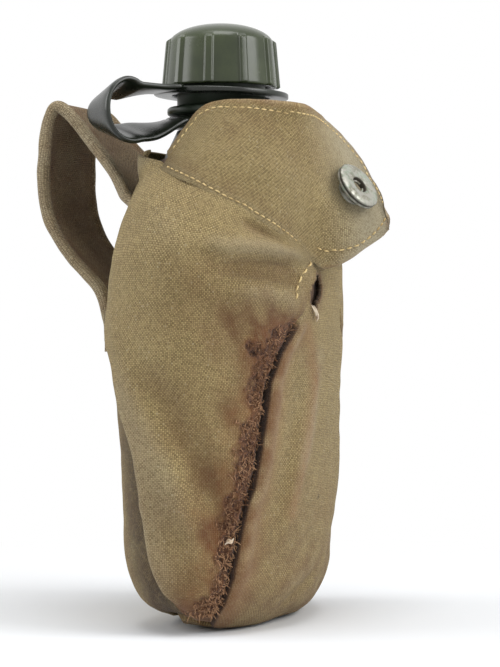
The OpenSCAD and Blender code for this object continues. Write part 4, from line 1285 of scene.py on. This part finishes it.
ribbed = outer_wall * soft_step(high, 209.8, 208.4) * soft_step(high, CAP_LOW - 1, CAP_LOW + 0.4)
stand = 1.15 * ribbed * soft_step(beside, 1.75, 1.15)
rings = round_rings(cap_profile[:, :1] + stand, high, CAP_COLS)
cap = swept("cap_moulding", rings, cap_plastic, "cap")
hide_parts("cap")


def dress(node_name, finish):
    """Gives a finish to a CAD solid that is shown as it is."""
    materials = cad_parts[node_name].data.materials
    materials.clear()
    materials.append(finish)


dress("cap_gasket", rubber)

# %% [markdown]
# ## The strap's rings
# One soft moulding keeps the cap: a wide ring under the cap, a band that runs out, round in a loop and back, and
# a small ring on the neck below the bead. A torus would be too round for the rings, so both are turned profiles.

# %% Strap rings
RING_STEPS, RING_SIDES = 144, 40


def turned(profile, steps):
    """A closed profile of radii and heights turned round the Z axis: a grid of points, and its squares."""
    b = np.linspace(0, 2 * np.pi, steps, endpoint=False)[:, None]
    wide, tall = profile.T
    grid = np.stack([wide * np.cos(b), wide * np.sin(b), tall + 0 * b], -1)
    count = len(profile)
    first = np.arange(count)
    after, last = (first + 1) % count, (steps - 1) * count
    wrap = np.stack([last + first, last + after, after, first], -1)
    return grid, np.concatenate([squares(steps, count, True), wrap])


def turned_ring(name, inner, outer, low, high, rounding, body, droop=0.0):
    """A ring with rounded edges. Its profile is a superellipse; droop lowers the front side of it."""
    a = np.linspace(0, 2 * np.pi, RING_SIDES, endpoint=False)
    x = (inner + outer) / 2 + (outer - inner) / 2 * power(np.cos(a), rounding)
    y = (low + high) / 2 + (high - low) / 2 * power(np.sin(a), rounding)
    grid, faces = turned(np.stack([x, y], -1), RING_STEPS)
    grid[..., 2] += droop * (grid[..., 1] - outer) / (2 * outer)
    return make_piece(name, grid.reshape(-1, 3), faces, strap_plastic, body)


cap_ring = turned_ring("strap_cap_ring_moulding", 17.8, 24.5, 188.9, 191.3, 0.45, "cap_ring", 1.6)
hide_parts("strap_cap_ring")
neck_ring = turned_ring("strap_neck_ring_moulding", 16.4, 20.6, 177.4, 180.7, 0.7, "strap")
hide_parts("strap_neck_ring")

# %% [markdown]
# ## The strap's band
# The band is a rounded strip carried along the loop, as the belt loop is, and it slants where it is twisted. Its two
# ends belong to different bodies.

# %% Strap band
STRAP_TURN, LOOP_REACH, LOOP_LEVEL, LOOP_RADIUS, SLANT = math.radians(144), 43.2, 181.0, 8.2, 19
STRAP_WIDTH, STRAP_THICK = 20, 2.4
sweep = np.radians(np.linspace(108, -112, 60))
strap_line = np.concatenate([
    np.stack([np.linspace(23.2, 39.0, 14), 190.1 - 1.6 * np.linspace(0, 1, 14) ** 1.3], -1),
    np.stack([LOOP_REACH + LOOP_RADIUS * np.cos(sweep), LOOP_LEVEL + LOOP_RADIUS * np.sin(sweep)], -1),
    np.stack([np.linspace(38.4, 19.6, 16), 173.7 + 5.1 * np.linspace(0, 1, 16) ** 1.4], -1)])
way = unit(np.gradient(strap_line, axis=0))
reach_way = np.array([math.cos(STRAP_TURN), math.sin(STRAP_TURN), 0])
sideways = np.array([-math.sin(STRAP_TURN), math.cos(STRAP_TURN), 0])
upward = np.array([0, 0, 1.0])
path = strap_line[:, :1] * reach_way + strap_line[:, 1:] * upward
normal = -way[:, 1:] * reach_way + way[:, :1] * upward
share = np.linspace(0, 1, len(path))[:, None]
slant = np.radians(SLANT) * soft_step(share, 0.02, 0.26) * soft_step(share, 1.0, 0.86)
slant = slant * (1 - 0.5 * bell(share - 0.5, 0.18))
across = sideways * np.cos(slant) + normal * np.sin(slant)
normal = normal * np.cos(slant) - sideways * np.sin(slant)
flare = 1 + 0.12 * soft_step(strap_line[:, 0], 31, 23) * (strap_line[:, 1] > 185)
band = carried(strip_profile(STRAP_WIDTH, STRAP_THICK, 0.0, 48), path, normal, across * flare[:, None])
strap_band = swept("strap_band_moulding", band, strap_plastic, None)
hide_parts("strap_band")
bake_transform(strap_band)

# %% [markdown]
# ## Snaps
# The free end carries the socket half of a press stud: a thick bevelled disc with a hole, on a base plate whose
# rolled edge shows round it, and inside the hole the split spring that grips a stud. They could be modelled in
# place, but it is easier to set them up along +Z, the disc as a turned profile and the spring as a bent wire, and
# then to turn them the way the cloth faces.

# %% Snaps
socket_profile = np.array([
    [2.9, 0.2], [2.9, 0.0], [8.7, 0.0], [9.0, 0.15], [9.0, 0.75], [8.75, 0.95], [8.35, 1.0], [8.35, 1.15],
    [8.8, 1.3], [9.05, 1.5], [9.05, 1.8], [8.7, 2.15], [7.6, 2.55], [6.6, 2.62], [5.2, 2.5], [4.0, 2.42],
    [3.4, 2.35], [3.1, 2.1], [3.0, 1.7], [2.9, 1.2]])
SNAP_STEPS, SPRING_RADIUS, WIRE_RADIUS = 96, 2.35, 0.4


def faced(points, place, way):
    """Points built round +Z, moved to a place and turned so that +Z faces a direction."""
    z = unit(np.asarray(way, float))
    x = unit(np.cross([0.0, 0, 1], z))
    return np.asarray(place) + points[..., :1] * x + points[..., 1:2] * np.cross(z, x) + points[..., 2:] * z


def snap(side, place, way, body):
    """The socket and the spring in its hole."""
    grid, faces = turned(socket_profile, SNAP_STEPS)
    wide, tall = socket_profile.T
    # Painted shade: the disc's side wall and the inside of its hole are made dark and dull.
    under_disc = 0.85 * (wide > 8.2) * soft_step(tall, 2.2, 1.5) * soft_step(tall, 0.6, 1.0)
    snap_shade = np.clip(under_disc + soft_step(wide, 3.5, 3.05), 0, 1)
    socket = make_piece(f"snap_socket_{side}_metal", faced(grid.reshape(-1, 3), place, way), faces, snap_metal, body,
                        paint={"snap_shade": np.tile(snap_shade, SNAP_STEPS)})
    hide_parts(f"snap_socket_{side}")
    turn = np.radians(np.linspace(25, 335, 40))
    spoke = np.stack([np.cos(turn), np.sin(turn), np.zeros(40)], -1)[:, None, :]
    upward = np.array([0, 0, 1.0])
    ring = np.radians(np.linspace(0, 360, 8, endpoint=False))[None, :, None]
    spring = SPRING_RADIUS * spoke + upward + WIRE_RADIUS * (np.cos(ring) * spoke + np.sin(ring) * upward)
    swept(f"snap_spring_{side}", faced(spring, place, way), snap_metal, body)


RIGHT_SNAP, RIGHT_WAY = np.array([16.4555, -33.6779, 151.168]), np.array([0.160378, -0.903254, 0.39801])
snap("left", LEFT_SNAP + 0.85 * LEFT_WAY, LEFT_WAY, "flap_left")
snap("right", RIGHT_SNAP + 0.6 * RIGHT_WAY, RIGHT_WAY, "flap_right")
for side in ("left", "right"):
    dress(f"snap_washer_{side}", snap_metal)

# %% [markdown]
# ## Stitches
# A sewing machine leaves short arched stitches in a row. They could be painted, but real ones catch the light, so
# each is a small tube whose middle stands proud of the cloth. Three rows follow the hems and the seam of the left
# flap, and a coarser one holds the gore's front edge above the split.

# %% Stitches


def threads(name, lines, radius, finish, sides=5):
    """Many short tubes in one piece: row n of lines holds the points of one thread, which is thinner at its ends."""
    count, steps = lines.shape[:2]
    way = unit(np.gradient(lines, axis=1))
    side = unit(np.cross(way, np.array([0.31, 0.52, 0.79])))
    a = np.linspace(0, 2 * np.pi, sides, endpoint=False)[:, None]
    swell = radius * (0.4 + 0.6 * np.sin(np.pi * np.linspace(0, 1, steps)))[:, None, None]
    rings = lines[:, :, None] + swell * (np.cos(a) * side[:, :, None] + np.sin(a) * np.cross(way, side)[:, :, None])
    points = np.concatenate([rings.reshape(count, -1, 3), lines[:, [0, -1]]], 1)
    faces = tube_faces(steps, sides)[None] + points.shape[1] * np.arange(count)[:, None, None]
    return make_piece(name, points.reshape(-1, 3), faces.reshape(-1, 4), finish, None)


def stitched(path, out, pitch, length, rise):
    """Stitches along a line on cloth: each starts one pitch after the last and arches by rise along the normals."""
    reach = arc(path[None], 1)[0]
    at = np.arange(pitch / 2, reach[-1] - length, pitch)[:, None] + length * np.linspace(0, 1, 5)
    line, up = on_path(path, reach, at), on_path(out, reach, at)
    return line + up * (rise * np.sin(np.pi * np.linspace(0, 1, 5)) - 0.1)[:, None]


def flap_line(run, columns):
    """The line on the left flap where its height run reaches a value, with the directions out of the cloth."""
    level = np.argmax(height_run > run, axis=0)[columns]
    return flap_outer[level, columns], out[level, columns]


hem_columns = np.arange(3, sheet_grid.shape[1] - 5)
top_row = stitched(*flap_line(height_run[-1] - TOP_STITCH, hem_columns), 2.6, 1.8, 0.16)
low_row = stitched(*flap_line(LOW_STITCH, hem_columns[hem_columns > bend_column - 3]), 2.9, 2.1, 0.45)
seam_row = stitched(*flap_line(SEAM_STITCH, hem_columns[hem_columns < bend_column - 6]), 2.6, 1.9, 0.32)
flap_stitches = threads("flap_left_stitches", np.concatenate([top_row, low_row, seam_row]), 0.33, thread)
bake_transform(flap_stitches)

edge_turns, edge_heights = np.array([98.0, 101.0, 104.0, 107.0, 110.0]), np.array([129, 125.5, 122, 117.5, 112])
edge_line = smooth_path(skin(edge_turns, edge_heights, GORE_OUT), 12)
near = ((gore_outer.reshape(-1, 1, 3) - edge_line) ** 2).sum(-1).argmin(0)
up = outward(gore_outer).reshape(-1, 3)[near]
edge_line += ((gore_outer.reshape(-1, 3)[near] - edge_line) * up).sum(-1, keepdims=True) * up
coarse = stitched(edge_line, up, 4.1, 2.9, 0.6)
gore_stitches = threads("gore_left_stitches", coarse, 0.42, thread)
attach(gore_stitches, "cover")

# %% [markdown]
# ## Fibres and loose ends
# Where the seam has split, the strip is worn to brown fur, and a few pale ends of broken thread hang out. Blender's
# hair could grow there, but the stitches' tubes, bent, are enough: seeded draws choose the places and the ways.

# %% Fibres and thread ends
FIBRES = 900
rng = np.random.default_rng(7)
spots = np.argwhere(gore_rough > 0.45)
spots = spots[rng.choice(len(spots), FIBRES, replace=False)]
root = gore_outer[spots[:, 0], spots[:, 1]]
lean = unit(outward(gore_outer)[spots[:, 0], spots[:, 1]] + rng.normal(0, 0.7, root.shape))
curl = unit(rng.normal(size=root.shape) + [0, 0, -0.6])
q = np.linspace(0, 1, 5)[None, :, None]
reach = rng.uniform(1.0, 3.2, len(root))[:, None, None]
hairs = root[:, None] + reach * (lean[:, None] * q * (1 - 0.45 * q) + 0.7 * curl[:, None] * q**2) - 0.2 * lean[:, None]
fibres = threads("gore_left_fibres", hairs, 0.17, fur, 4)
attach(fibres, "cover")

knots = [skin(np.array(t), np.array(z), np.array(o)) for t, z, o in (
    ([99.5, 98.8, 97.6, 96.6], [112.6, 110.6, 109.2, 107.2], [1.2, 1.9, 1.5, 0.9]),
    ([98.2, 98.0, 97.2, 97.4], [112.4, 111, 108.6, 106.6], [1.0, 1.8, 2.0, 1.3]),
    ([136.5, 138.0, 139.2, 140.0], [33.2, 32.4, 32.8, 32.0], [1.4, 2.2, 2.0, 1.2]),
    ([137.0, 138.0, 139.4, 141.0], [32.6, 31.8, 32.0, 31.2], [1.4, 2.4, 2.2, 1.4]))]
ends = threads("loose_thread_ends", np.stack([smooth_path(k, 4) for k in knots]), 0.42, lint)
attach(ends, "cover")

# %% Finish
bpy.context.view_layer.update()
